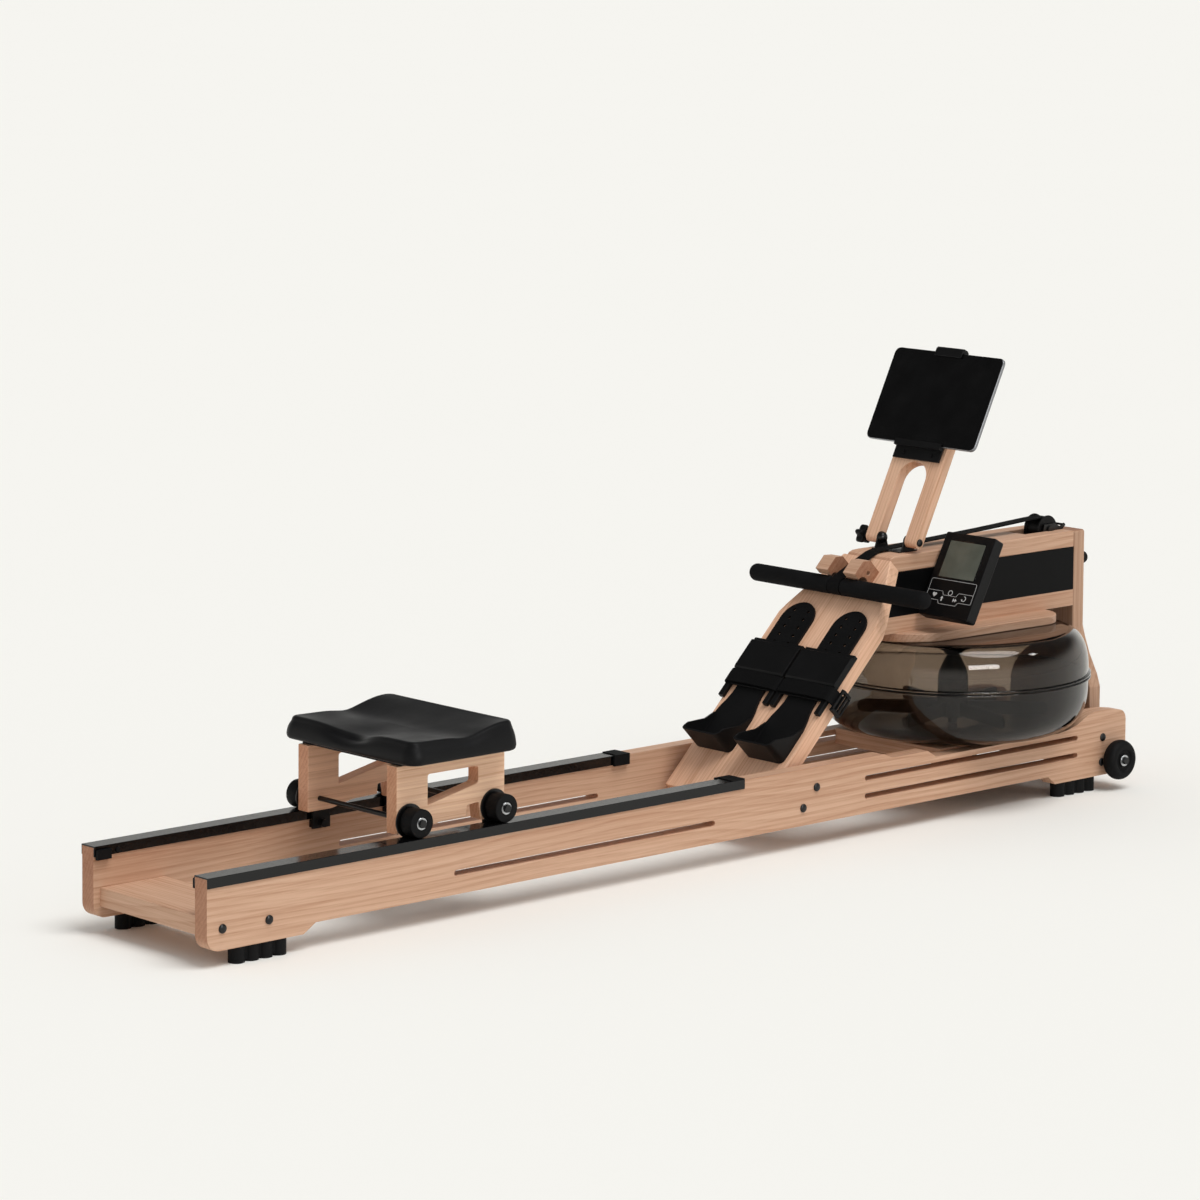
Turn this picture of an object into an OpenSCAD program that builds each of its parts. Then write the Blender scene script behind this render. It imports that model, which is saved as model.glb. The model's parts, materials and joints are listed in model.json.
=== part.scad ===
// Water rowing machine on two wooden side rails, with a sloping footboard,
// a water tank under twin beams, a rolling seat and a folding tablet arm.
// Frame: X runs from the rear end to the tank end, Z is up, the floor is Z = 0.

/* [Rails] */
// Length of the side rails
rail_len = 2000; // [1960:10:2060]
// Thickness of every structural board
board_t = 28; // [26:1:30]
// Height of the rails' top edge above the floor
rail_top = 132; // [130:1:136]
// Clear width between the two rails
rail_gap = 246; // [244:2:252]
// Height of the rubber feet
foot_h = 25; // [22:1:28]

/* [Seat] */
// Length of the metal running tracks
track_len = 1074; // [1040:2:1100]
// Width of the seat cushion
seat_w = 314; // [300:2:330]
// Length of the seat cushion
seat_l = 220; // [212:2:232]
// Height of the seat cushion's front corners above the floor
seat_top = 291; // [286:1:296]
// Diameter of the seat rollers
roller_d = 43.4; // [42:0.2:44]

/* [Footboard and beams] */
// Width of the footboard
footboard_w = 226; // [220:2:236]
// Width of the two beams and the front upright
beam_w = 100; // [96:2:108]
// Height of the dark side panels between the beams
panel_h = 75; // [72:1:80]
// Thickness of the wooden plate on the tank
plate_t = 15; // [14:1:18]

/* [Tank] */
// Outer diameter of the tank
tank_d = 470; // [460:2:474]
// Height of the tank
tank_h = 175; // [170:1:182]
// Wall thickness of the tank
tank_wall = 4; // [3:0.5:5]

/* [Handle] */
// Length of the handle over its rounded tips
handle_len = 410; // [400:2:440]
// Diameter of the foam grips
handle_d = 30; // [28:0.5:31]
// Width of the pull strap
strap_w = 26; // [22:1:28]

/* [Console and tablet arm] */
// Width of the console
console_w = 113; // [108:1:118]
// Height of the console along its face
console_l = 150; // [144:1:156]
// Thickness of the console
console_t = 22; // [20:0.5:26]
// Lean of the console's face from the vertical, in degrees
console_tilt = 28; // [24:1:32]
// Lean of the tablet arm from the vertical, in degrees
arm_tilt = 26.5; // [24:0.5:30]
// Width of the tablet arm
arm_w = 115; // [112:1:118]
// Width of the tablet
tablet_w = 251; // [240:1:260]
// Height of the tablet
tablet_h = 169; // [160:1:174]

/* [Transport wheels] */
// Diameter of the transport wheels
wheel_d = 69; // [66:0.5:72]
// Width of the transport wheels
wheel_w = 25; // [22:0.5:27]

/* [Hidden] */

$fn = 64;
eps = 0.01;
near = -1;
far = 1;

wood = [0.82, 0.65, 0.50];
black = [0.07, 0.07, 0.08];
soft_black = [0.12, 0.12, 0.13];
smoke = [0.20, 0.18, 0.17, 0.6];
steel = [0.62, 0.63, 0.65];

// Rails and cross boards
rail_in = rail_gap / 2;
rail_out = rail_in + board_t;
rail_bottom = foot_h;
rail_belly = rail_bottom + 14.4;
track_wall = 2;
track_top = rail_top + track_wall;
bolt_r = 7;
bolt_shank_r = 3;

// Footboard, leaning back at 45 degrees. (s, h) are measured up its face and out of it.
board_x0 = rail_len - 850;
board_z0 = 74;
c45 = sqrt(0.5);

// Stack of heights over the tank
tank_bottom = 115;
tank_top = tank_bottom + tank_h;
tank_seam = tank_bottom + 0.56 * tank_h;
plate_top = tank_top + plate_t;
lower_beam_top = plate_top + board_t;
upper_beam_bottom = lower_beam_top + panel_h;
upper_beam_top = upper_beam_bottom + board_t;
footboard_len = (upper_beam_top - board_t / 2 - 1.5 - board_z0) / c45 + board_t / 2;
upright_x = rail_len - board_t;
tank_r = tank_d / 2;
tank_x = upright_x - 15 - tank_r;

// Handle, at rest against the mouths of the hook blocks
handle_s = footboard_len - 78;
handle_h = 18;

// Strap, pulley and drum
strap_t = 2;
pulley_x = rail_len - 60;
pulley_z = upper_beam_top + 1.5;
pulley_core_r = 20;
drum_r = 28;
drum_z = (lower_beam_top + upper_beam_bottom) / 2;
shaft_r = 8;

// Seat
seat_x = 487;
carriage_t = 24;
carriage_out = rail_in - 5.5;
carriage_bottom = rail_top + 5;
carriage_top = seat_top - 51;
seat_base_t = 4;
cushion_bottom = carriage_top + seat_base_t;
roller_r = roller_d / 2;
roller_z = track_top + 0.3 + roller_r;
roller_dx = 84;
axle_r = 4;
running_gap = 0.05;

// Footplates
foot_half = footboard_w / 4 + 0.5;
foot_y = footboard_w / 4 + 3.5;
strap_reach = footboard_w / 2 - foot_y + 9;

// Console
console_x = rail_len - 427;
console_z = plate_top + 30;
console_y = -110.5;
console_pivot = [console_t + 10, console_l / 2];

// Tablet arm
arm_x = rail_len - 428;
arm_z = upper_beam_top + 18;
arm_t = 20.5;
arm_leg = 25;
arm_len = 205;
tablet_t = 7;
tablet_v = 165;
pin_r = 4;

// Transport wheels
transport_x = rail_len - 38;
transport_z = 52;
transport_y = rail_out + 7.5;

overall_len = rail_len + 26;

// ---------- helpers ----------

// The frame's origin is on the floor, under the middle of the machine
module on_frame() translate([-overall_len / 2, 0, 0]) children();

// Points of an arc from angle a0 to a1
function arc(cx, cy, r, a0, a1, n = 8) =
    [for (i = [0 : n]) let (a = a0 + (a1 - a0) * i / n) [cx + r * cos(a), cy + r * sin(a)]];

// X and Z of a point s up the footboard and h out of its face
function fx(s, h) = board_x0 + (s - h) * c45;
function fz(s, h) = board_z0 + (s + h) * c45;
// X of the footboard's back face and of its top end at height z
function back_x(z) = board_x0 - board_z0 + board_t / c45 + z;
function end_x(z) = board_x0 + board_z0 + footboard_len / c45 - z;

// An outline in (x, z) given thickness along Y, ending at y_max
module slab(points, y_max, t) {
    translate([0, y_max, 0])
        rotate([90, 0, 0])
            linear_extrude(t) polygon(points);
}

// A round hole or rod along Y through (x, z)
module rod_y(x, z, r, y0, y1) translate([x, y1, z]) rotate([90, 0, 0]) cylinder(r = r, h = y1 - y0);

// A slot with round ends along X, cut through the far rail
module rail_slot(x0, x1, z) {
    translate([(x0 + x1) / 2, rail_in + board_t / 2, z])
        cube([x1 - x0, board_t + 2, 9], center = true);
    for (x = [x0, x1])
        rod_y(x, z, 4.5, rail_in - 1, rail_out + 1);
}

// Mirrors a far-side piece to the near side
module side(s) {
    if (s == near)
        mirror([0, 1, 0]) children();
    else
        children();
}

// Child shapes placed in the footboard's own axes: X up the slope, Z out of the face
module on_footboard() translate([board_x0, 0, board_z0]) rotate([0, -45, 0]) children();

// Child shapes placed in the console's own axes: Z up its face, X towards its back
module on_console() translate([console_x, console_y, console_z]) rotate([0, console_tilt, 0]) children();

// Child shapes placed in the tablet arm's own axes: Z up the arm, X towards its back
module on_arm() translate([arm_x, 0, arm_z]) rotate([0, arm_tilt, 0]) children();

// Domed bolt along -Z with its head on the plane z = 0
module dome_bolt(head_r, head_h, shank, length) {
    rotate_extrude()
        polygon(concat(
            [[0, -length], [shank, -length], [shank, 0], [head_r, 0]],
            [for (a = [15 : 15 : 75]) [head_r * cos(a), 0.6 + (head_h - 0.6) * sin(a)]],
            [[0, head_h]]));
}

// Ribbon outline of thickness t along a path of (x, z) points
function unit(v) = v / norm(v);
function side_of(p, q) = let (d = unit(q - p)) [-d[1], d[0]];
function path_normal(p, i) =
    i == 0 ? side_of(p[0], p[1])
    : i == len(p) - 1 ? side_of(p[i - 1], p[i])
    : unit(side_of(p[i - 1], p[i]) + side_of(p[i], p[i + 1]));
function ribbon(p, t) = concat(
    [for (i = [0 : len(p) - 1]) p[i] + path_normal(p, i) * t / 2],
    [for (i = [len(p) - 1 : -1 : 0]) p[i] - path_normal(p, i) * t / 2]);

// Solid skin over rings of points: quads between rings and a fan on each end
module skin(rings) {
    n = len(rings[0]);
    m = len(rings);
    polyhedron(
        points = [for (ring = rings) for (p = ring) p],
        faces = concat(
            [for (j = [0 : m - 2]) for (i = [0 : n - 1])
                [j * n + i, j * n + (i + 1) % n, (j + 1) * n + (i + 1) % n]],
            [for (j = [0 : m - 2]) for (i = [0 : n - 1])
                [j * n + i, (j + 1) * n + (i + 1) % n, (j + 1) * n + i]],
            [[for (i = [n - 1 : -1 : 0]) i]],
            [[for (i = [0 : n - 1]) (m - 1) * n + i]]),
        convexity = 6);
}

// ---------- rails, tracks and boards ----------

rail_bolt_spots = [
    [28, 57], [113, 57],
    [fx(37, -45), fz(37, -45)], [fx(80, -45), fz(80, -45)],
    [rail_len - 60, 91], [rail_len - 62, 48]
];

// Outline of a rail: raised belly, a recess under the tank and a raised, clipped front end
function rail_outline() = concat(
    arc(22, rail_bottom + 22, 22, 180, 270, 6),
    [[177, rail_bottom], [200, rail_belly]],
    [[rail_len - 199, rail_belly], [rail_len - 181.4, rail_bottom]],
    arc(rail_len - 25, rail_bottom + 25, 25, 270, 360, 6),
    arc(rail_len - 18, rail_top - 16, 18, 0, 75, 5),
    [[rail_len - 45, rail_top + 6], [rail_len - 75, rail_top + 6.5], [rail_len - 88, rail_top + 5.2]],
    [[rail_len - 100, rail_top + 1.5], [rail_len - 112, rail_top - 4.5], [rail_len - 125, rail_top - 10.7]],
    [[rail_len - 150, tank_bottom - 0.2], [rail_len - 175, tank_bottom - 3]],
    [[rail_len - 480, tank_bottom - 3], [rail_len - 500, rail_top - 8]],
    [[rail_len - 585, rail_top - 8], [rail_len - 605, rail_top], [0, rail_top]]);

module rail(s) on_frame() side(s) color(wood)
    difference() {
        slab(rail_outline(), rail_out, board_t);
        rail_slot(470.5, board_x0 - 144.5, 72);
        rail_slot(rail_len - 644.5, rail_len - 129.5, 98);
        rail_slot(rail_len - 644.5, rail_len - 129.5, 68);
        for (p = rail_bolt_spots)
            rod_y(p[0], p[1], bolt_shank_r + running_gap, rail_in - 1, rail_out + 1);
        rod_y(transport_x, transport_z, 5 + running_gap, rail_in - 1, rail_out + 1);
    }

// Channel folded over the rail's top edge
module track(s) on_frame() side(s) color(black)
    difference() {
        translate([0, rail_in - track_wall, rail_top - 13.5])
            cube([track_len, board_t + 2 * track_wall, track_top - rail_top + 13.5]);
        translate([-1, rail_in, rail_top - 20])
            cube([track_len + 2, board_t, 20]);
    }

// Caps with a stop tab on the tracks' front ends, and tabs that stop the seat at the rear
module track_stops() on_frame() for (s = [near, far]) side(s) color(soft_black) {
    translate([track_len - 28, rail_in - track_wall, track_top])
        cube([28, board_t + 2 * track_wall, 1.6]);
    translate([track_len - 34, rail_in - track_wall - 5, rail_top - 15])
        cube([34, 5, track_top - rail_top + 16.6]);
    translate([2, rail_in - track_wall - 6, rail_top - 18])
        cube([26, 6, 15]);
    translate([43, rail_in - track_wall, rail_top - 8])
        rotate([90, 0, 0]) cylinder(r = 4, h = 2);
}

module cross_board(x0, x1, z0, z1) {
    difference() {
        translate([x0, -rail_in, z0]) cube([x1 - x0, rail_gap, z1 - z0]);
        for (p = rail_bolt_spots)
            if (p[0] > x0 && p[0] < x1)
                for (s = [near, far])
                    side(s) rod_y(p[0], p[1], bolt_shank_r + running_gap, rail_in - 34, rail_in + 1);
    }
}

module rear_cross_board() on_frame() color(wood) cross_board(12, 130, 43, 43 + board_t);

module front_cross_board() on_frame() color(wood)
    cross_board(upright_x - 46, upright_x, 35, 105);

// Two boards across the rails that the tank stands on
module tank_supports() on_frame() color(wood)
    for (x = [tank_x - 122, tank_x + 128])
        translate([x - 40, -rail_in, tank_bottom - board_t])
            cube([80, rail_gap, board_t]);

// A row of four rubber studs on a web
module foot(x0) {
    y = rail_in + board_t / 2;
    for (i = [0 : 3])
        translate([x0 + i * 25.4, y, 0]) cylinder(r = 12.5, h = foot_h);
    translate([x0, y - 7, 3]) cube([3 * 25.4, 14, foot_h - 3]);
}

module feet() on_frame() color(soft_black)
    for (s = [near, far])
        side(s)
            for (x = [64, rail_len - 160]) foot(x);

// Domed bolts through the rails, and the axle bolts of the transport wheels
module rail_bolts() on_frame() for (s = [near, far]) side(s) color(black) {
    for (p = rail_bolt_spots)
        translate([p[0], rail_out, p[1]])
            rotate([-90, 0, 0]) dome_bolt(bolt_r, 4, bolt_shank_r, board_t + 30);
    rod_y(transport_x, transport_z, 5, rail_in + 1, transport_y + wheel_w + 1);
    rod_y(transport_x, transport_z, 8, rail_out, transport_y - 0.3);
    translate([transport_x, transport_y + wheel_w + 0.4, transport_z])
        rotate([-90, 0, 0]) cylinder(r = 6.5, h = 4, $fn = 6);
}

// ---------- footboard ----------

// Half outline of the footboard, narrower at the top
function footboard_side() = [
    [0, footboard_w / 2],
    [footboard_len - 136, footboard_w / 2],
    [footboard_len - 115, footboard_w / 2 - 7],
    [footboard_len - 92, footboard_w / 2 - 17],
    [footboard_len, 55]
];

module footboard() on_frame() on_footboard() color(wood)
    translate([0, 0, -board_t])
        linear_extrude(board_t)
            polygon(concat(
                footboard_side(),
                [for (i = [4 : -1 : 0]) [footboard_side()[i][0], -footboard_side()[i][1]]]));

// Block behind the footboard's foot, bolted to both rails
module footboard_cleat() on_frame() color(wood)
    difference() {
        on_footboard()
            translate([15, -rail_in, -62]) cube([85, rail_gap, 62 - board_t]);
        for (p = [rail_bolt_spots[2], rail_bolt_spots[3]])
            for (s = [near, far])
                side(s) rod_y(p[0], p[1], bolt_shank_r + running_gap, rail_in - 34, rail_in + 1);
    }

// Wooden hooks with a half-round mouth that the handle hangs in
module hook_blocks() on_frame() on_footboard() for (s = [near, far]) side(s) color(wood)
    difference() {
        slab([
            [handle_s + 12, 0], [handle_s + 52, 0], [handle_s + 52, 30],
            [handle_s + 40, 43], [handle_s + 12, 43]], 46, 28);
        rod_y(handle_s + 12, 17, 12, 17, 47);
        translate([handle_s + 34, 47, 19]) rotate([90, 0, 0]) cylinder(r = 4, h = 12);
    }

// ---------- beams, panels and upright ----------

module upper_beam() on_frame() color(wood)
    difference() {
        slab(concat(
            [[end_x(upper_beam_bottom), upper_beam_bottom]],
            [[upright_x, upper_beam_bottom], [upright_x, upper_beam_top]],
            [[end_x(upper_beam_bottom) + 6, upper_beam_top]],
            [[end_x(upper_beam_bottom) - 8, upper_beam_top - 0.7]],
            [[end_x(upper_beam_bottom) - 16, upper_beam_top - 3.5]],
            [[end_x(upper_beam_top - 8), upper_beam_top - 8]]),
            beam_w / 2, beam_w);
        translate([pulley_x - 65, -22, upper_beam_bottom - 1])
            cube([66 + upright_x - pulley_x, 44, board_t + 2]);
        translate([pulley_x - 8, -25.5, upper_beam_top - 7]) cube([16, 51, 8]);
    }

module lower_beam() on_frame() color(wood)
    difference() {
        slab([
            [back_x(plate_top), plate_top], [upright_x, plate_top],
            [upright_x, lower_beam_top], [back_x(lower_beam_top), lower_beam_top]],
            beam_w / 2, beam_w);
        translate([tank_x, 0, plate_top - 1]) cylinder(r = 14 + running_gap, h = board_t + 2);
    }

module side_panels() on_frame() for (s = [near, far]) side(s) color(black)
    slab([
        [back_x(lower_beam_top), lower_beam_top], [upright_x, lower_beam_top],
        [upright_x, upper_beam_bottom], [back_x(upper_beam_bottom), upper_beam_bottom]],
        beam_w / 2, 3);

// Front upright, flaring to a wide foot between the rails
function upright_side() = [
    [92, 40], [92, 165], [85, 186], [67, 220], [56, 248], [beam_w / 2, 268],
    [beam_w / 2, upper_beam_top - 3], [beam_w / 2 - 3, upper_beam_top]
];

module front_upright() on_frame() color(wood)
    translate([upright_x, 0, 0])
        rotate([90, 0, 90])
            linear_extrude(board_t)
                polygon(concat(
                    upright_side(),
                    [for (i = [7 : -1 : 0]) [-upright_side()[i][0], upright_side()[i][1]]]));

// Two domed rubber buffers that the machine stands on when it is stored upright
module bumpers() on_frame() for (s = [near, far]) side(s) color(soft_black)
    translate([rail_len, 29, upper_beam_bottom - 25])
        rotate([0, 90, 0])
            rotate_extrude()
                polygon(concat([[0, 0], [11, 0], [11, 17]], arc(2, 17, 9, 0, 90, 6), [[0, 26]]));

// ---------- tank ----------

// Quarter of a superellipse from the seam to the flat end at height z1
function dome(r_flat, r_out, z0, z1, power, n = 10) =
    [for (i = [0 : n]) let (a = 90 * i / n)
        [r_flat + (r_out - r_flat) * pow(cos(a), 2 / power), z0 + (z1 - z0) * pow(sin(a), 2 / power)]];

module tank_shell(r_flat, z_end, power, hole_r) {
    dir = z_end > tank_seam ? 1 : -1;
    z0 = tank_seam + dir;
    outer = dome(r_flat, tank_r - 4, z0, z_end, power);
    inner = dome(r_flat, tank_r - 4 - tank_wall, z0, z_end - dir * tank_wall, power);
    translate([tank_x, 0, 0])
        rotate_extrude($fn = 96)
            polygon(concat(
                [[tank_r - 4 - tank_wall, z0], [tank_r, z0], [tank_r, z0 + dir * 3]],
                [[outer[0][0], z0 + dir * 4]],
                [for (i = [2 : 10]) outer[i]],
                [[hole_r, z_end], [hole_r, z_end - dir * tank_wall]],
                [for (i = [10 : -1 : 2]) inner[i]],
                [[inner[0][0], z0 + dir * 4]]));
}

module tank_upper_shell() on_frame() color(smoke)
    tank_shell(0.8 * tank_r, tank_top, 2.5, 14 + running_gap);

// Lower shell, with a socket for the foot of the paddle shaft
module tank_lower_shell() on_frame() color(smoke) {
    tank_shell(0.6 * tank_r, tank_bottom, 2.9, 10);
    translate([tank_x, 0, tank_bottom])
        difference() {
            cylinder(r = 13, h = 14);
            translate([0, 0, 5]) cylinder(r = shaft_r + running_gap, h = 10);
        }
}

module tank_seal() on_frame() color(black)
    translate([tank_x, 0, tank_seam - 1])
        difference() {
            cylinder(r = tank_r - 0.5, h = 2, $fn = 96);
            translate([0, 0, -1]) cylinder(r = tank_r - 9, h = 4, $fn = 96);
        }

// Rounded wooden plate between the tank and the lower beam
module tank_top_plate() on_frame() color(wood)
    translate([0, 0, tank_top])
        difference() {
            linear_extrude(plate_t)
                polygon(concat(
                    arc(tank_x + 128, beam_w / 2, 52, 0, 92),
                    arc(tank_x - 117, 0, 95, 95, 265, 16),
                    arc(tank_x + 128, -beam_w / 2, 52, 268, 360)));
            translate([tank_x, 0, -1]) cylinder(r = 14 + running_gap, h = plate_t + 2);
        }

// Shaft with six flat blades, reaching up to the strap drum
module paddle() on_frame() translate([tank_x, 0, 0]) color(soft_black) {
    translate([0, 0, tank_bottom + 5.5])
        cylinder(r = shaft_r, h = upper_beam_bottom - 22 - tank_bottom - 5.5);
    translate([0, 0, tank_bottom + 18]) cylinder(r = 26, h = 78);
    translate([0, 0, tank_bottom + 96]) cylinder(r1 = 27, r2 = 11, h = tank_top - tank_bottom - 141);
    for (a = [0 : 60 : 300])
        rotate([0, 0, a + 15])
            translate([20, -1.5, tank_bottom + 22]) cube([tank_r - 85, 3, 70]);
}

// Bearing housing that carries the shaft: a bush up through the roof, the plate and the
// beam, and under the roof a flange that narrows to a neck
module shaft_bush() on_frame() color(soft_black)
    translate([tank_x, 0, tank_top - tank_wall])
        rotate_extrude()
            polygon([
                [shaft_r + running_gap, -40], [13, -40], [16, -28], [24, -15], [40, -7], [70, -3],
                [0.755 * tank_r, -3], [0.755 * tank_r, -0.05], [14, -0.05],
                [14, lower_beam_top - tank_top + tank_wall],
                [shaft_r + running_gap, lower_beam_top - tank_top + tank_wall]]);

// Flanged drum that the strap winds on, turning the shaft through a one-way clutch
module strap_drum() on_frame() color(soft_black)
    translate([tank_x, 0, drum_z])
        difference() {
            union() {
                translate([0, 0, -17]) cylinder(r = drum_r, h = 34);
                for (z = [-19, 16])
                    translate([0, 0, z]) cylinder(r = drum_r + 8, h = 3);
            }
            translate([0, 0, -20]) cylinder(r = shaft_r + running_gap, h = 42);
        }

// Flat case of the recoil spring, screwed under the upper beam
module recoil_case() on_frame() color(black)
    translate([tank_x, 0, upper_beam_bottom - 17])
        difference() {
            cylinder(r = drum_r + 10, h = 17);
            translate([0, 0, -1]) cylinder(r = shaft_r + 2, h = 8);
            translate([0, 0, 3]) cylinder(r = drum_r + 7, h = 11);
        }

// ---------- strap, pulley and handle ----------

module front_pulley() on_frame() color(black)
    translate([pulley_x, 0, pulley_z])
        rotate([90, 0, 0])
            difference() {
                union() {
                    translate([0, 0, -17]) cylinder(r = pulley_core_r, h = 34);
                    for (z = [-17, 14])
                        translate([0, 0, z]) cylinder(r = pulley_core_r + 4.5, h = 3);
                }
                translate([0, 0, -18]) cylinder(r = axle_r + running_gap, h = 36);
            }

// Two cheeks in the beam's slot, the pulley's pin and a wire that keeps the strap on
module pulley_bracket() on_frame() color(black) {
    for (s = [near, far])
        side(s) {
            slab([
                [pulley_x - 24, upper_beam_bottom], [upright_x, upper_beam_bottom],
                [upright_x, upper_beam_top + 2], [pulley_x + 14, pulley_z + 10],
                [pulley_x - 14, pulley_z + 10]], 22, 3);
        }
    rod_y(pulley_x, pulley_z, axle_r, -25, 25);
    for (s = [near, far])
        side(s) translate([pulley_x, 22, pulley_z]) rotate([-90, 0, 0]) cylinder(r = 7, h = 3);
    rod_y(upright_x + 6, upper_beam_top + 7, 2, -22, 22);
    for (s = [near, far])
        side(s) slab([
            [upright_x - 10, upper_beam_top - 2], [upright_x - 2, upper_beam_top - 2],
            [upright_x + 9, upper_beam_top + 6], [upright_x + 6, upper_beam_top + 10],
            [upright_x - 2, upper_beam_top + 6]], 22, 3);
}

handle_x = fx(handle_s, handle_h);
handle_z = fz(handle_s, handle_h);
strap_r = pulley_core_r + 0.2 + strap_t / 2;
loop_r = handle_d / 2 - strap_t / 2;
nose = [fx(footboard_len, 2.6), fz(footboard_len, 2.6)];
nose_angle = atan2(nose[1] - handle_z, nose[0] - handle_x);
nose_reach = norm([nose[0] - handle_x, nose[1] - handle_z]);
leave_angle = nose_angle - asin(loop_r / nose_reach) + 90;

// Strap from the handle's loop over the footboard's top edge and along the beam to the pulley
strap_path = concat(
    [[handle_x + loop_r * cos(leave_angle), handle_z + loop_r * sin(leave_angle)]],
    [nose, [nose[0] + 13, upper_beam_top + 1.6], [nose[0] + 30, upper_beam_top + 4]],
    [[pulley_x - 150, upper_beam_top + 15], [pulley_x - 40, pulley_z + strap_r - 1.6]],
    arc(pulley_x, pulley_z, strap_r, 90, -84, 14));

// Rings of the inner run, which turns from flat on the pulley to upright on the drum
function smooth(t) = t * t * (3 - 2 * t);
function inner_run(n = 12) = let (a = strap_path[len(strap_path) - 1])
    [for (i = [0 : n]) let (
        t = i / n,
        c = [a[0] + (tank_x - a[0]) * t,
             (drum_r + 1.3) * smooth(t),
             a[1] + (drum_z - a[1]) * smooth(min(1, t / 0.8))],
        w = [0, cos(90 * smooth(t)), sin(90 * smooth(t))] * strap_w / 2,
        k = [0, -sin(90 * smooth(t)), cos(90 * smooth(t))] * strap_t / 2)
        [c + w + k, c - w + k, c - w - k, c + w - k]];

module pull_strap() on_frame() color(soft_black) {
    slab(ribbon(strap_path, strap_t), strap_w / 2, strap_w);
    translate([handle_x, strap_w / 2, handle_z])
        rotate([90, 0, 0])
            difference() {
                cylinder(r = handle_d / 2, h = strap_w);
                translate([0, 0, -1]) cylinder(r = handle_d / 2 - strap_t, h = strap_w + 2);
            }
    skin(inner_run());
    translate([tank_x, 0, drum_z - strap_w / 2])
        difference() {
            cylinder(r = drum_r + 2.3, h = strap_w);
            translate([0, 0, -1]) cylinder(r = drum_r + 0.3, h = strap_w + 2);
        }
}

// Tube inside the grips, with a thicker sleeve that the strap's loop goes round
module handle_core() on_frame() color(steel)
    difference() {
        union() {
            rod_y(handle_x, handle_z, 9, 8 - handle_len / 2, handle_len / 2 - 8);
            rod_y(handle_x, handle_z, handle_d / 2 - strap_t - 0.2, -14, 14);
        }
        rod_y(handle_x, handle_z, 7, -handle_len / 2, handle_len / 2);
    }

// Two foam sleeves with rounded, closed ends
module handle_grips() on_frame() color(soft_black)
    for (s = [near, far]) side(s)
        translate([handle_x, 14, handle_z])
            rotate([-90, 0, 0])
                rotate_extrude()
                    polygon(concat(
                        [[9, 0], [handle_d / 2, 0]],
                        arc(handle_d / 2 - 13, handle_len / 2 - 27, 13, 0, 90, 6),
                        [[0, handle_len / 2 - 14], [0, handle_len / 2 - 22], [9, handle_len / 2 - 22]]));

// ---------- seat ----------

// Plan outline of the cushion, inset by d, with a relief in the rear edge
function pad_outline(d, notch) = let (
    l = seat_l / 2 - d,
    w = seat_w / 2 - d,
    r = max(5, 24 - d))
    concat(
        [for (i = [-5 : 5]) [l, i / 5.5 * (w - r)]],
        arc(l - r, w - r, r, 0, 90, 5),
        [for (i = [-4 : 4]) [-i / 4.5 * (l - r), w]],
        arc(r - l, w - r, r, 90, 180, 5),
        [for (i = [-7 : 7]) let (y = -i / 7.5 * (w - r)) [notch * exp(-pow(y / 38, 2)) - l, y]],
        arc(r - l, r - w, r, 180, 270, 5),
        [for (i = [-4 : 4]) [i / 4.5 * (l - r), -w]],
        arc(l - r, r - w, r, 270, 360, 5));

// How far the sides lie below the front corners, u running from -1 at the rear to 1
function side_drop(u) =
    11 * smooth(max(0, min(1, (0.75 - u) / 0.65))) + 4 * exp(-pow((u - 0.05) / 0.22, 2));

// Height of the cushion's top at (x, y): dished, lower at the sides and the rear relief
function cushion_z(x, y) = let (u = 2 * x / seat_l, v = 2 * y / seat_w)
    seat_top
    - side_drop(u) * (0.35 + 0.65 * v * v)
    - 14 * exp(-pow(v / 0.32, 2)) * max(0, -u)
    - 13 * max(0, 1 - pow(abs(u + 0.1), 2.5)) * max(0, 1 - pow(abs(v), 2.5));

function cushion_ring(d, notch, z, lift) =
    [for (p = pad_outline(d, notch)) [seat_x + p[0], p[1], lift ? cushion_z(p[0], p[1]) + z : z]];

function cushion_cap(k) =
    [for (q = pad_outline(14, 17)) let (p = q * k) [seat_x + p[0], p[1], cushion_z(p[0], p[1])]];

module seat_cushion() on_frame() color(soft_black)
    skin([
        cushion_ring(9, 0, cushion_bottom, false),
        cushion_ring(3, 0, cushion_bottom + 1.5, false),
        cushion_ring(0.8, 0, cushion_bottom + 4.5, false),
        cushion_ring(0, 0, cushion_bottom + 8, false),
        cushion_ring(8, 12, -7, true),
        cushion_ring(10.5, 15, -2, true),
        cushion_ring(14, 17, 0, true),
        cushion_cap(0.85), cushion_cap(0.68), cushion_cap(0.5), cushion_cap(0.32), cushion_cap(0.12)
    ]);

module seat_base() on_frame() color(black)
    translate([seat_x - seat_l / 2 + 12, -carriage_out, carriage_top])
        cube([seat_l - 24, 2 * carriage_out, seat_base_t]);

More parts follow.
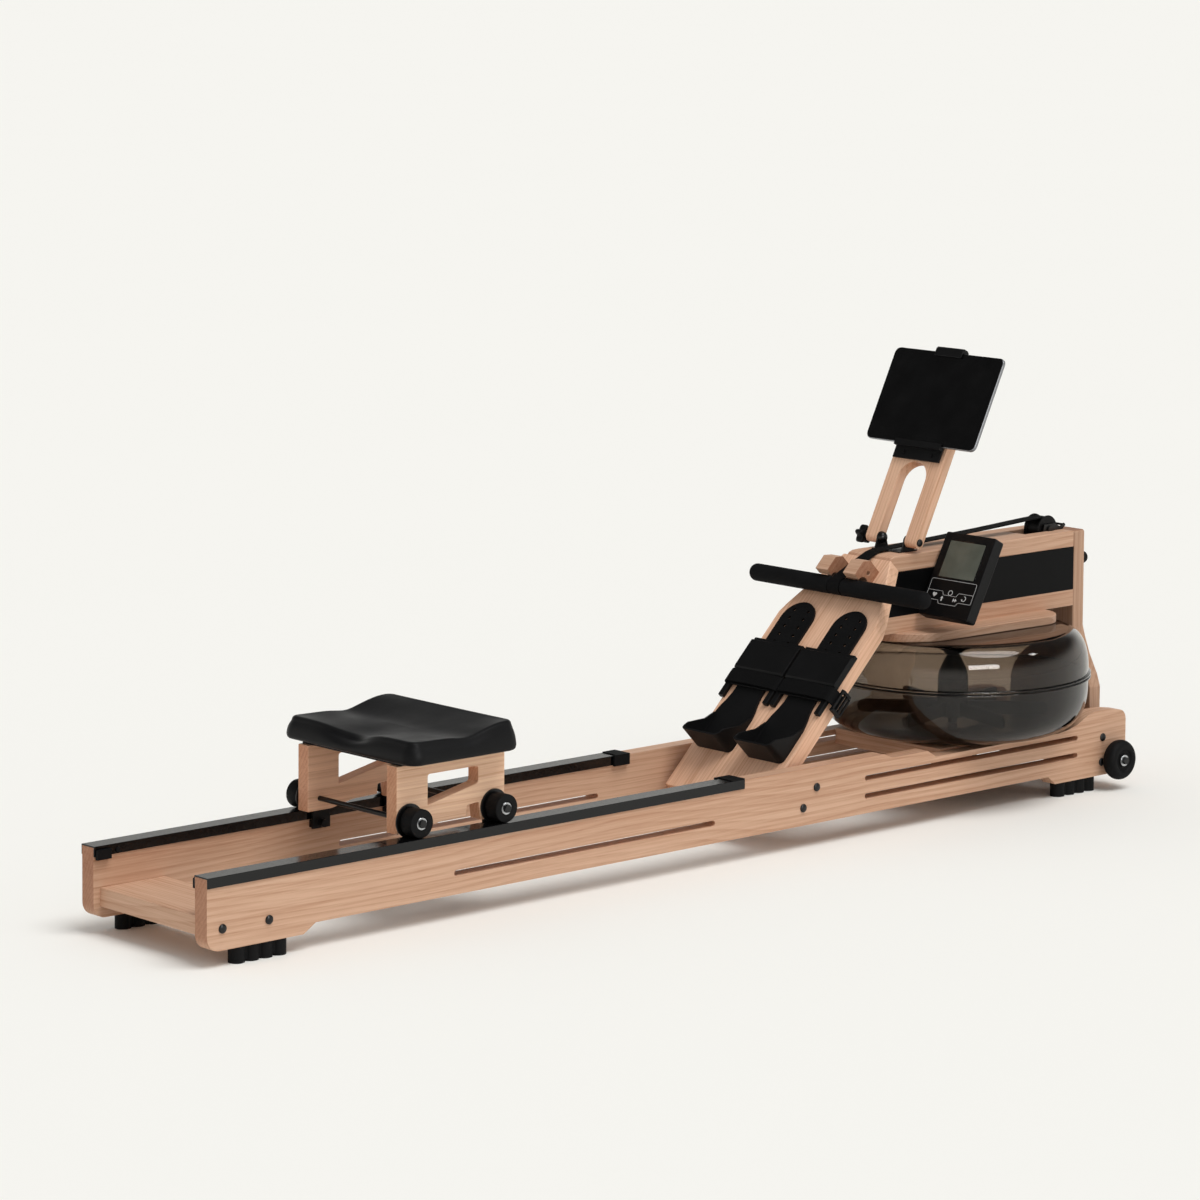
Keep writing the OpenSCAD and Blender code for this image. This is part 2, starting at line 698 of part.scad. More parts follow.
// Side board of the seat: a slanted window and a notched underside between the wheels
module carriage(s) on_frame() side(s) color(wood) {
    x0 = seat_x - 106;
    z0 = carriage_bottom;
    difference() {
        slab([
            [x0, z0], [x0 + 47, z0], [x0 + 89, z0 + 9], [x0 + 137, z0 + 10], [x0 + 139, z0 + 26],
            [x0 + 162, z0 + 28], [x0 + 166, z0], [x0 + 214, z0],
            [x0 + 214, carriage_top], [x0, carriage_top]], carriage_out, carriage_t);
        slab(concat(
            [[x0 + 61, z0 + 37]], arc(x0 + 156, z0 + 62, 5, -78, 0, 4),
            arc(x0 + 156, z0 + 79, 5, 0, 90, 4), arc(x0 + 66, z0 + 79, 5, 90, 180, 4)),
            carriage_out + 1, carriage_t + 2);
        for (d = [-roller_dx, roller_dx])
            rod_y(seat_x + 1 + d, roller_z, axle_r, 0, rail_out);
    }
}

// Two rods across the seat, with nuts, bearing rings and the flanges beside the tracks
module seat_axles() on_frame() color(black)
    for (d = [-roller_dx, roller_dx])
        translate([seat_x + 1 + d, 0, roller_z]) {
            rod_y(0, 0, axle_r, -rail_out - 1, rail_out + 1);
            for (s = [near, far])
                side(s) {
                    rod_y(0, 0, 26, rail_in - 5, rail_in - track_wall - 0.4);
                    translate([0, rail_out - 1.4, 0])
                        rotate([-90, 0, 0]) cylinder(r = 6.5, h = 4, $fn = 6);
                }
        }

// Brackets with a pad under each track's lip, which keep the seat from lifting
module seat_guides() on_frame() color(black)
    for (s = [near, far]) side(s)
        for (x = [seat_x - 80, seat_x + 66])
            translate([x, 0, 0]) {
                translate([0, carriage_out - 4, rail_top - 28])
                    cube([34, 4, carriage_bottom - rail_top + 28]);
                translate([0, carriage_out - eps, rail_top - 26])
                    cube([34, 5 + eps, 11.5]);
                translate([17, carriage_out - 13, rail_top - 20])
                    rotate([-90, 0, 0]) cylinder(r = 6, h = 9 + eps);
            }

// Solid tyre on a hub with a recessed bearing face
module roller(x, s) on_frame() side(s) color(soft_black)
    translate([x, rail_out - 1.5, roller_z])
        rotate([90, 0, 0])
            difference() {
                cylinder(r = roller_r, h = board_t - 1.5);
                translate([0, 0, -1]) cylinder(r = axle_r + running_gap, h = board_t + 2);
                translate([0, 0, -1]) cylinder(r = 10, h = 2);
            }

// ---------- footplates ----------

// Fixed base with side prongs, a bridge over the slider and a toe plate
module footplate() {
    for (s = [near, far])
        side(s) translate([183, foot_half - 10.5, 0]) cube([122, 10.5, 8]);
    translate([208, 7 - foot_half, 5]) cube([97, 2 * foot_half - 14, 3]);
    slab([[238, 8], [297, 8], [299, 10], [297, 12.5], [242, 12.5], [238, 10.5]],
        foot_half, 2 * foot_half);
}

module footplates() on_frame() on_footboard() color(soft_black)
    for (y = [-foot_y, foot_y])
        translate([0, y, 0]) footplate();

// Outline of a heel with square sides and rounded corners, open towards the toes at s_max
function heel_outline(r, s_max) = concat(
    arc(92, -33, r, -180, -90, 4), [[s_max, -33 - r], [s_max, 33 + r]], arc(92, 33, r, 90, 180, 4));

// One side of the sole from the heel cup to the toe, narrowest under the instep
sole_side = [[150, 43], [166, 40], [180, 35.5], [196, 32.5], [215, 32], [240, 34], [262, 36]];

// Heel cup: a wall round the heel that falls towards the toes
module heel_cup() {
    intersection() {
        translate([0, 0, 0.4])
            linear_extrude(50)
                difference() {
                    polygon(heel_outline(10, 150));
                    polygon(heel_outline(6, 151));
                }
        slab([[78, 0.4], [150, 0.4], [150, 6], [128, 16], [100, 42], [78, 50]], 50, 100);
    }
}

// Sliding sole with a heel cup, and two rows of peg holes
module heel_slider(s) on_frame() on_footboard() side(s) color(black)
    translate([0, foot_y, 0]) {
        top = footboard_len - 148;
        difference() {
            translate([0, 0, 0.4])
                linear_extrude(4)
                    polygon(concat(
                        arc(92, -33, 10, -180, -90, 4),
                        [for (p = sole_side) [p[0], -p[1]]],
                        arc(top, 0, 36, -90, 90, 16),
                        [for (i = [len(sole_side) - 1 : -1 : 0]) sole_side[i]],
                        arc(92, 33, 10, 90, 180, 4)));
            for (i = [0 : 6])
                for (y = [-16, 16])
                    translate([top + 18 - i * 17, y, -1]) cylinder(r = 3.2, h = 8, $fn = 24);
        }
        heel_cup();
    }

// Webbing over each footplate, with a ladder buckle hanging beside the board's edge
module foot_straps() on_frame() on_footboard() color(black)
    for (s = [near, far]) side(s)
        translate([0, foot_y, 0]) {
            translate([210, 0, 0])
                rotate([90, 0, 90])
                    linear_extrude(26)
                        polygon(ribbon([
                            [-foot_half - 1.3, 1], [-foot_half - 1.3, 8.4], [5 - foot_half, 11.5], [0, 13],
                            [strap_reach - 8, 12], [strap_reach - 1.5, 8.5],
                            [strap_reach, 1], [strap_reach + 1, -16]], 2));
            difference() {
                translate([202, strap_reach - 0.5, -28]) cube([42, 7, 26]);
                for (h = [-24, -14])
                    translate([208, strap_reach + 1.6, h]) cube([30, 6, 6]);
            }
        }

// ---------- console ----------

key_spots = [[-33, 37.5], [-14.7, 32], [0, 43.5], [14.7, 32], [33, 37]];
key_r = 6;

module console() on_frame() color(black)
    on_console()
        difference() {
            union() {
                slab([
                    [0, 0], [console_t, 3], [console_t, console_l - 12],
                    [console_t - 10, console_l], [0, console_l]], console_w / 2, console_w);
                translate([console_pivot[0], 14, console_pivot[1]])
                    rotate([90, 0, 0]) cylinder(r = 10, h = 28);
                translate([console_t - 1, -14, console_pivot[1] - 10])
                    cube([11, 28, 20]);
            }
            translate([console_pivot[0], 20, console_pivot[1]])
                rotate([90, 0, 0]) cylinder(r = 5 + running_gap, h = 40);
            translate([-1, -0.35 * console_w, 0.467 * console_l])
                cube([1.6, 0.7 * console_w, 0.433 * console_l]);
            for (p = key_spots)
                translate([-1, -p[0], p[1]])
                    rotate([0, 90, 0]) cylinder(r = key_r + 0.3, h = 7);
        }

// Plate on the side panel with the pin that the console tilts on
module console_mount() on_frame() color(black) {
    reach = -beam_w / 2 - console_y + 18;
    on_console()
        translate([console_pivot[0], 0, console_pivot[1]]) {
            translate([0, reach - 18, 0]) rotate([90, 0, 0]) cylinder(r = 5, h = reach - 1);
            translate([0, reach - 18, 0]) rotate([90, 0, 0]) cylinder(r = 13, h = 3);
        }
}

// Push keys, standing half a millimetre out of the face
module key(i) on_frame() on_console() color(soft_black)
    translate([-0.5, -key_spots[i][0], key_spots[i][1]])
        rotate([0, 90, 0]) cylinder(r = key_r, h = 4);

// ---------- tablet arm ----------

// Board with a long open slot, so that the strap runs between its legs
module tablet_arm() on_frame() on_arm() color(wood)
    difference() {
        union() {
            translate([-arm_t / 2, -arm_w / 2, 0]) cube([arm_t, arm_w, arm_len]);
            rotate([90, 0, 0]) translate([0, 0, -arm_w / 2]) cylinder(r = arm_t / 2, h = arm_w);
        }
        translate([-arm_t, arm_leg - arm_w / 2, -arm_t])
            cube([2 * arm_t, arm_w - 2 * arm_leg, arm_t + 105]);
        translate([-arm_t, 0, 105]) rotate([0, 90, 0]) cylinder(r = arm_w / 2 - arm_leg, h = 2 * arm_t);
        rotate([90, 0, 0]) translate([0, 0, -arm_w]) cylinder(r = pin_r + running_gap, h = 2 * arm_w);
    }

// Steel saddle on the beam, the near pivot bolt and the far domed nut
module arm_bracket() on_frame() color(black) {
    ear = arm_w / 2 - arm_leg - 0.5;
    translate([arm_x, 0, 0]) {
        translate([-22, -ear, upper_beam_top]) cube([44, 2 * ear, 2]);
        for (s = [near, far])
            side(s)
                difference() {
                    union() {
                        rod_y(0, arm_z, 10, ear - 3, ear);
                        slab([[-16, upper_beam_top], [16, upper_beam_top], [10, arm_z], [-10, arm_z]],
                            ear, 3);
                    }
                    rod_y(0, arm_z, pin_r + running_gap, ear - 4, ear + 1);
                }
        translate([0, -arm_w / 2 - 0.3, arm_z])
            rotate([90, 0, 0]) dome_bolt(6.5, 4, pin_r, arm_w / 2 - ear + 5.2);
        translate([0, ear - 3, arm_z])
            difference() {
                rotate([90, 0, 0]) dome_bolt(9.5, 9, 9.5, 0.5);
                translate([0, 1, 0]) rotate([90, 0, 0]) cylinder(r = pin_r + running_gap, h = 6.5);
            }
    }
}

// Five-lobed clamping knob on a bolt through the far leg
module star_knob() on_frame() color(black)
    translate([arm_x, arm_w / 2 + 0.5, arm_z])
        rotate([-90, 0, 0]) {
            for (a = [0 : 72 : 288])
                rotate([0, 0, a + 9]) translate([11, 0, 8]) cylinder(r = 5.5, h = 13);
            translate([0, 0, 7]) cylinder(r = 11.5, h = 15);
            cylinder(r = 8, h = 8);
            translate([0, 0, -arm_leg - 8]) cylinder(r = pin_r, h = arm_leg + 9);
        }

// Back plate of the tablet clamp with its lower shelf and two guides for the clip
clamp_t = 2.75;
clamp_x = -arm_t / 2 - clamp_t;
module tablet_clamp() on_frame() on_arm() color(black) {
    translate([clamp_x, -30, tablet_v - 25]) cube([clamp_t, 60, 150]);
    translate([clamp_x - 3, -53, tablet_v - 26]) cube([3.1, 106, 26]);
    translate([clamp_x - tablet_t - 3.5, -53, tablet_v - 5.5]) cube([tablet_t + 3.6, 106, 5.2]);
    translate([clamp_x - tablet_t - 3.5, -53, tablet_v - 5.5]) cube([2.5, 106, 11]);
    for (y = [-32, 32])
        translate([clamp_x - 5, y, tablet_v - 16]) rotate([0, 90, 0]) cylinder(r = 3.5, h = 3);
    for (s = [near, far])
        side(s) {
            translate([clamp_x + clamp_t - eps, 16.4, arm_len + 5]) cube([4.4, 6, 75]);
            translate([clamp_x + clamp_t + 3.4, 11, arm_len + 5]) cube([1.8, 11.4, 75]);
        }
}

// Sprung clip that hooks over the tablet's top edge, on a stem behind the back plate
module tablet_clip() on_frame() on_arm() color(black) {
    top = tablet_v + tablet_h + 0.4;
    translate([clamp_x + clamp_t + 0.4, -16, arm_len + 8]) cube([2.6, 32, top - arm_len - 4]);
    slab([
        [clamp_x + clamp_t + 3, top], [clamp_x + clamp_t + 3, top + 5], [clamp_x + 1, top + 8],
        [clamp_x - tablet_t - 1, top + 8], [clamp_x - tablet_t - 4, top + 4],
        [clamp_x - tablet_t - 4, top - 9], [clamp_x - tablet_t - 1, top - 9],
        [clamp_x - tablet_t - 1, top]], 31, 62);
}

module tablet() on_frame() on_arm() color(black) {
    r = 10;
    translate([clamp_x - tablet_t - 0.5, 0, tablet_v])
        rotate([90, 0, 90])
            linear_extrude(tablet_t)
                polygon(concat(
                    arc(tablet_w / 2 - r, r, r, -90, 0, 5),
                    arc(tablet_w / 2 - r, tablet_h - r, r, 0, 90, 5),
                    arc(r - tablet_w / 2, tablet_h - r, r, 90, 180, 5),
                    arc(r - tablet_w / 2, r, r, 180, 270, 5)));
}

// ---------- transport wheels ----------

// Rounded tyre with a dished face round its bolt
module transport_wheel(s) on_frame() side(s) color(soft_black)
    translate([transport_x, transport_y, transport_z])
        rotate([-90, 0, 0])
            rotate_extrude()
                polygon(concat(
                    [[5 + running_gap, 0]],
                    [for (a = [-90 : 15 : 90])
                        [wheel_d / 2 - 9 + 9 * cos(a), wheel_w / 2 * (1 + sin(a))]],
                    [[20, wheel_w], [18, wheel_w - 3], [12, wheel_w - 3]],
                    [[12, wheel_w - 1], [5 + running_gap, wheel_w - 1]]));

rail(near);  // rail_near
rail(far);  // rail_far
track(near);  // track_near
track(far);  // track_far
track_stops();
rear_cross_board();
front_cross_board();
tank_supports();
feet();
rail_bolts();
footboard();
footboard_cleat();
hook_blocks();
upper_beam();
lower_beam();
side_panels();
front_upright();
bumpers();
tank_top_plate();
tank_upper_shell();
tank_lower_shell();
tank_seal();
paddle();
shaft_bush();
strap_drum();
recoil_case();
front_pulley();
pulley_bracket();
pull_strap();
handle_core();
handle_grips();
seat_cushion();
seat_base();
carriage(near);  // carriage_near
carriage(far);  // carriage_far
seat_axles();
seat_guides();
roller(seat_x + 1 - roller_dx, near);  // roller_rear_near
roller(seat_x + 1 - roller_dx, far);  // roller_rear_far
roller(seat_x + 1 + roller_dx, near);  // roller_front_near
roller(seat_x + 1 + roller_dx, far);  // roller_front_far
footplates();
heel_slider(near);  // heel_slider_near
heel_slider(far);  // heel_slider_far
foot_straps();
console();
console_mount();
key(0);  // key_heart
key(1);  // key_up
key(2);  // key_mode
key(3);  // key_fast
key(4);  // key_reset
tablet_arm();
arm_bracket();
star_knob();
tablet_clamp();
tablet_clip();
tablet();
transport_wheel(near);  // transport_wheel_near
transport_wheel(far);  // transport_wheel_far
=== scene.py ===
"""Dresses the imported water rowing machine: boards, tank, seat, foot rests, console and tablet arm."""

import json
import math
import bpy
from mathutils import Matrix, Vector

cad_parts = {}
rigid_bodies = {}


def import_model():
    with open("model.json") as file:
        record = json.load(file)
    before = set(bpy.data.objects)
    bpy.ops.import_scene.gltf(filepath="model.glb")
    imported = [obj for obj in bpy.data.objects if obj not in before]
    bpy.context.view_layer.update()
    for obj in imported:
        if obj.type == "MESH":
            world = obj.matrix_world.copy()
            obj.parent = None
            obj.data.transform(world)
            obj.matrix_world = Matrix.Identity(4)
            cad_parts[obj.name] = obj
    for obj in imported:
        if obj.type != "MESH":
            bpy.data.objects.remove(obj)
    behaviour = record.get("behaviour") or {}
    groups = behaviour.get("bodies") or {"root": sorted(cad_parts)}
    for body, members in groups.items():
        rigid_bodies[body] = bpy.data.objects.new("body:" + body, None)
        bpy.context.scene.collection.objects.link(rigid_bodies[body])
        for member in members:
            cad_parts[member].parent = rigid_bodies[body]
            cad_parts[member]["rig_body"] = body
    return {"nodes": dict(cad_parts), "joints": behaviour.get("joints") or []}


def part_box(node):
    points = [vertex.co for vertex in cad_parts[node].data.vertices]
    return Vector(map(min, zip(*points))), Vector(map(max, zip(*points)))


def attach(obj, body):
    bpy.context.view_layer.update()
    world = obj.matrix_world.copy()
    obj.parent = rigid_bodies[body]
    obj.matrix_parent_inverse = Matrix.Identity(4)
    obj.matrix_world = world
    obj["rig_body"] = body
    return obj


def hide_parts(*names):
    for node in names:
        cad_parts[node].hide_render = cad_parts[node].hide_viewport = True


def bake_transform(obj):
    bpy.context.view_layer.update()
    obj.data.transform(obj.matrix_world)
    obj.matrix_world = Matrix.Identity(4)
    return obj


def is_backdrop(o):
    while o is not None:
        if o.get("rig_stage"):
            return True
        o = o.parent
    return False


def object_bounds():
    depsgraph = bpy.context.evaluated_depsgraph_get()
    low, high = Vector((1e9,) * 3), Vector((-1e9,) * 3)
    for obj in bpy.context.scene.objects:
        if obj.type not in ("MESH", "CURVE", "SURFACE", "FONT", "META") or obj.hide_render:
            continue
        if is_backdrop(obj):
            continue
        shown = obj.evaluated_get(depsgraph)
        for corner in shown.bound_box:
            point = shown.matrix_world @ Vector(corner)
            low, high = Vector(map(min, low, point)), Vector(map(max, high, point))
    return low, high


bl_info = {
    "name": "Water Rowing Machine",
    "version": (1, 0, 0),
    "blender": (4, 5, 0),
    "location": "View3D > Sidebar > Rower",
    "description": "Builds the visible pieces of a wooden water rowing machine on its packed frame",
    "category": "Add Mesh",
}

import bmesh
import bpy
import numpy as np
from mathutils import Matrix, Vector

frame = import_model()
CAD_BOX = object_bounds()
JOINTS = {joint["name"]: joint for joint in frame["joints"]}

NEAR, FAR = -1, 1
SIDES = {"near": NEAR, "far": FAR}


# ---------- places ----------


def span(node):
    """Lowest corner, highest corner and middle of a frame node, as arrays in metres."""
    low, high = (np.array(corner, float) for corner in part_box(node))
    return low, high, (low + high) / 2


class Axes:
    """A leaning set of axes: along Y it is the machine's own, and it is turned about Y by lean."""

    def __init__(self, origin, lean):
        self.origin = np.array(origin, float)
        c, s = math.cos(lean), math.sin(lean)
        self.rows = np.array([[c, 0, -s], [0, 1, 0], [s, 0, c]])

    def place(self, points):
        """Points in these axes, moved into the machine's axes."""
        return np.asarray(points, float) @ self.rows + self.origin


STRAIGHT = Axes((0, 0, 0), 0)


def board_axes(sizes):
    """Axes of the footboard: first axis up its face, second across it, third out of it."""
    return Axes((sizes.board_foot, 0, sizes.board_foot_height), -sizes.board_lean)


def console_axes(sizes):
    """Axes of the console: third axis up its face, first towards its back, origin at its lower front edge."""
    pivot = np.array(JOINTS["console_tilt"]["pos_m"], float)
    turned = Axes((0, 0, 0), sizes.console_lean)
    origin = pivot - turned.place([sizes.console_pivot_depth, 0, sizes.console_length / 2])
    origin[1] = span("console")[2][1]
    return Axes(origin, sizes.console_lean)


def arm_axes(sizes):
    """Axes of the tablet arm: third axis up the arm, first towards its back, origin on its pivot."""
    pivot = np.array(JOINTS["arm_fold"]["pos_m"], float)
    return Axes((pivot[0], 0, pivot[2]), sizes.arm_lean)


# ---------- meshes ----------


def face_grid(rows, cols, wrap_rows, wrap_cols):
    """Quads over a rows by cols grid of points, joined end to end where a direction wraps."""
    i = np.arange(rows if wrap_rows else rows - 1)
    j = np.arange(cols if wrap_cols else cols - 1)
    a, b = np.meshgrid(i, j, indexing="ij")
    a2, b2 = (a + 1) % rows, (b + 1) % cols
    quads = np.stack([a * cols + b, a * cols + b2, a2 * cols + b2, a2 * cols + b], -1)
    return quads.reshape(-1, 4)


def signed_volume(points, quads, caps):
    """Six times the volume that the faces enclose: the sum of a . (b x c) over fans of each face."""
    total = 0.0
    for faces in [quads] + [np.array([cap]) for cap in caps]:
        if len(faces) == 0:
            continue
        a = points[faces[:, 0]]
        for k in range(1, faces.shape[1] - 1):
            b, c = points[faces[:, k]], points[faces[:, k + 1]]
            total += np.einsum("ij,ij->i", a, np.cross(b, c)).sum()
    return total


def surface(name, grid, wrap_rows=False, wrap_cols=False, caps=(False, False), smooth=40.0, uv=None):
    """Mesh over a grid of points [row, col, xyz]. Caps close the first and last rows with one face each.
    The faces are turned so that a closed form has a positive volume, and doubled points are merged."""
    grid = np.asarray(grid, float)
    rows, cols = grid.shape[:2]
    points = grid.reshape(-1, 3)
    quads = face_grid(rows, cols, wrap_rows, wrap_cols)
    ends = []
    if caps[0]:
        ends.append(np.arange(cols)[::-1])
    if caps[1]:
        ends.append(np.arange(cols) + (rows - 1) * cols)
    closed = wrap_rows or (caps[0] and caps[1])
    if signed_volume(points, quads, ends) < 0 and (closed or uv is None):
        quads = quads[:, ::-1]
        ends = [end[::-1] for end in ends]
    mesh = bpy.data.meshes.new(name)
    mesh.from_pydata(points.tolist(), [], quads.tolist() + [end.tolist() for end in ends])
    if uv is not None:
        layer = mesh.uv_layers.new(name="UVMap")
        index = np.empty(len(mesh.loops), np.int32)
        mesh.loops.foreach_get("vertex_index", index)
        flat = np.asarray(uv, float).reshape(-1, 2)
        layer.data.foreach_set("uv", flat[index].astype(np.float32).ravel())
    return finish_mesh(name, mesh, smooth)


def finish_mesh(name, mesh, smooth):
    """Merges doubled points, drops empty faces, shades smooth below an angle and links the object."""
    work = bmesh.new()
    work.from_mesh(mesh)
    bmesh.ops.remove_doubles(work, verts=work.verts, dist=1e-6)
    bmesh.ops.dissolve_degenerate(work, edges=work.edges, dist=1e-6)
    work.to_mesh(mesh)
    work.free()
    mesh.polygons.foreach_set("use_smooth", np.ones(len(mesh.polygons), bool))
    mesh.set_sharp_from_angle(angle=math.radians(smooth))
    mesh.update()
    piece = bpy.data.objects.new(name, mesh)
    bpy.context.scene.collection.objects.link(piece)
    return piece


def lathe(name, profile, axes=STRAIGHT, centre=(0, 0, 0), along="z", steps=96, loop=True, smooth=40.0):
    """Profile of (radius, height) pairs turned about an axis through centre: x = r cos t, y = r sin t."""
    profile = np.asarray(profile, float)
    t = np.linspace(0, 2 * math.pi, steps, endpoint=False)
    r, h = profile[:, 0][:, None], profile[:, 1][:, None]
    a, b, c = r * np.cos(t), r * np.sin(t), h + 0 * t
    order = {"x": (c, a, b), "y": (b, c, a), "z": (a, b, c)}[along]
    grid = np.stack(order, -1) + np.asarray(centre, float)
    return surface(name, axes.place(grid), wrap_rows=loop, wrap_cols=True, smooth=smooth)


def rounded(points, radius, steps=4):
    """Closed outline with its corners rounded: each corner is a quadratic blend between the
    points that lie radius before and after it. A radius may be given for each corner."""
    points = np.asarray(points, float)
    radius = np.broadcast_to(np.asarray(radius, float), len(points))[:, None]
    before, after = np.roll(points, 1, 0) - points, np.roll(points, -1, 0) - points
    length = [np.linalg.norm(v, axis=1, keepdims=True) for v in (before, after)]
    start = points + before / length[0] * np.minimum(radius, length[0] * 0.49)
    end = points + after / length[1] * np.minimum(radius, length[1] * 0.49)
    t = np.linspace(0, 1, steps + 1)[None, :, None]
    arc = (1 - t) ** 2 * start[:, None] + 2 * t * (1 - t) * points[:, None] + t**2 * end[:, None]
    return arc.reshape(-1, 2)


def plate(name, outline, low, high, axes, bevel=0.0, smooth=30.0):
    """Closed outline in the second and third axes, carried straight from low to high along the
    first. Its rims are rounded by bevel."""
    outline = np.asarray(outline, float)
    zero = np.zeros(len(outline))
    rings = [np.stack([zero + depth, outline[:, 0], outline[:, 1]], -1) for depth in (low, high)]
    piece = surface(name, axes.place(rings), wrap_cols=True, caps=(True, True), smooth=smooth)
    if bevel:
        round_edges(piece, bevel)
    return piece


def ribbon(name, path, width_axis, width, thickness, axes=STRAIGHT, steps=5, smooth=40.0):
    """Flat strap of rounded section carried along a path: each ring is the section
    (w cos t, h sin t) to a high power, laid on the path's own width and normal."""
    path = np.asarray(path, float)
    tangent = np.gradient(path, axis=0)
    tangent /= np.linalg.norm(tangent, axis=1, keepdims=True)
    side = np.broadcast_to(np.asarray(width_axis, float), path.shape)
    side = side - tangent * np.einsum("ij,ij->i", side, tangent)[:, None]
    side = side / np.linalg.norm(side, axis=1, keepdims=True)
    up = np.cross(side, tangent)
    t = np.linspace(0, 2 * math.pi, 8 * steps, endpoint=False)
    flat = lambda value, power: np.sign(value) * np.abs(value) ** power
    a, b = flat(np.cos(t), 0.25) * width / 2, flat(np.sin(t), 0.25) * thickness / 2
    grid = path[:, None] + side[:, None] * a[None, :, None] + up[:, None] * b[None, :, None]
    run = np.concatenate([[0], np.cumsum(np.linalg.norm(np.diff(path, axis=0), axis=1))])
    uv = np.stack(np.broadcast_arrays(run[:, None], a[None, :]), -1)
    return surface(name, axes.place(grid), wrap_cols=True, caps=(True, True), smooth=smooth, uv=uv)


def round_edges(piece, width, segments=3, angle=32.0):
    """Rounds every edge sharper than angle, as a router bit or a mould leaves it."""
    bevel = piece.modifiers.new("round edges", "BEVEL")
    bevel.width, bevel.segments, bevel.limit_method = width, segments, "ANGLE"
    bevel.angle_limit, bevel.harden_normals = math.radians(angle), True


def joined(name, pieces, smooth=40.0):
    """One object from the meshes of several pieces; the pieces themselves are removed."""
    work = bmesh.new()
    for piece in pieces:
        work.from_mesh(piece.data)
        bpy.data.objects.remove(piece)
    mesh = bpy.data.meshes.new(name)
    work.to_mesh(mesh)
    work.free()
    return finish_mesh(name, mesh, smooth)


def even_path(points, step, soften=0):
    """Points of a polyline resampled at even steps of its length, then averaged with their
    neighbours soften times so that its corners become bends. The ends stay."""
    points = np.asarray(points, float)
    run = np.concatenate([[0], np.cumsum(np.linalg.norm(np.diff(points, axis=0), axis=1))])
    at = np.linspace(0, run[-1], int(run[-1] / step) + 2)
    path = np.stack([np.interp(at, run, column) for column in points.T], -1)
    for _ in range(soften):
        path[1:-1] = (path[:-2] + 2 * path[1:-1] + path[2:]) / 4
    return path


def merged_copy(node, whole=True):
    """A merged copy of a frame node's loose triangles. Its flat faces are made whole again if asked."""
    work = bmesh.new()
    work.from_mesh(frame["nodes"][node].data)
    bmesh.ops.remove_doubles(work, verts=work.verts, dist=2e-6)
    if whole:
        bmesh.ops.dissolve_limit(
            work, angle_limit=math.radians(0.6), verts=work.verts, edges=work.edges
        )
    mesh = bpy.data.meshes.new(node + "_dressed")
    work.to_mesh(mesh)
    work.free()
    return mesh


def drawn_in(loop, inset):
    """A closed loop moved to its left by inset: each point goes along the mean of its edges' normals."""
    edge = np.roll(loop, -1, 0) - loop
    edge /= np.linalg.norm(edge, axis=1, keepdims=True)
    left = np.stack([-edge[:, 1], edge[:, 0]], -1)
    before = np.roll(left, 1, 0)
    return loop + inset * (left + before) / (1 + (left * before).sum(1))[:, None]


def pierced(name, outline, windows, low, high, radius, smooth=40.0):
    """Board in the XZ plane from y = low to y = high, with windows. Every loop has the wood on its left,
    and at both faces it is drawn in by r (1 - sin t) at the depth r (1 - cos t), a quarter round.
    Triangles fill the two faces between the loops."""
    work = bmesh.new()
    t = np.radians([0, 22.5, 45, 67.5, 90])
    inset = radius * (1 - np.sin(t))
    depth = radius * (1 - np.cos(t))
    inset, height = np.concatenate([inset, inset[::-1]]), np.concatenate([low + depth, high - depth[::-1]])
    for index, loop in enumerate([outline, *windows]):
        turn = np.sign((loop[:, 0] * np.roll(loop[:, 1], -1) - np.roll(loop[:, 0], -1) * loop[:, 1]).sum())
        if turn != (1 if index == 0 else -1):
            loop = loop[::-1]
        rows = [drawn_in(loop, value) for value in inset]
        rings = [
            np.stack([row[:, 0], 0 * row[:, 0] + level, row[:, 1]], -1)
            for row, level in zip(rows, height)
        ]
        grid = np.array(rings)
        wall = bpy.data.meshes.new("wall")
        wall.from_pydata(grid.reshape(-1, 3).tolist(), [], face_grid(*grid.shape[:2], False, True).tolist())
        work.from_mesh(wall)
        bpy.data.meshes.remove(wall)
    rims = [edge for edge in work.edges if edge.is_boundary]
    for y in (low, high):
        rim = [edge for edge in rims if abs(edge.verts[0].co.y - y) < 1e-6]
        bmesh.ops.triangle_fill(work, edges=rim, use_beauty=True)
    bmesh.ops.recalc_face_normals(work, faces=work.faces)
    mesh = bpy.data.meshes.new(name)
    work.to_mesh(mesh)
    work.free()
    piece = finish_mesh(name, mesh, smooth)
    piece.modifiers.new("flat faces", "WEIGHTED_NORMAL").keep_sharp = True
    return piece


def dressed(node, material, edge, slot=None, whole=True):
    """The node's own form with merged faces and rounded edges. It stands for the node and moves with it."""
    mesh = merged_copy(node, whole)
    piece = finish_mesh(node + "_dressed", mesh, smooth=32.0)
    round_edges(piece, edge)
    return fit(piece, body_of(node), material, slot, node)


def body_of(node):
    """Name of the body that a frame node rides on."""
    return frame["nodes"][node]["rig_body"]


def fit(piece, body, material, slot=None, *stands_for):
    """Gives a finished piece its material, sets it riding and hides the nodes it stands for. The slot is not
    used.
    """
    piece.data.materials.clear()
    piece.data.materials.append(material)
    if body:
        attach(piece, body)
    if stands_for:
        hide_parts(*stands_for)
    return piece


# ---------- materials ----------


def tone(red, green, blue):
    """Linear colour of a screen colour given from 0 to 255."""
    value = np.array([red, green, blue]) / 255
    linear = np.where(value <= 0.04045, value / 12.92, ((value + 0.055) / 1.055) ** 2.4)
    return (*linear.tolist(), 1.0)


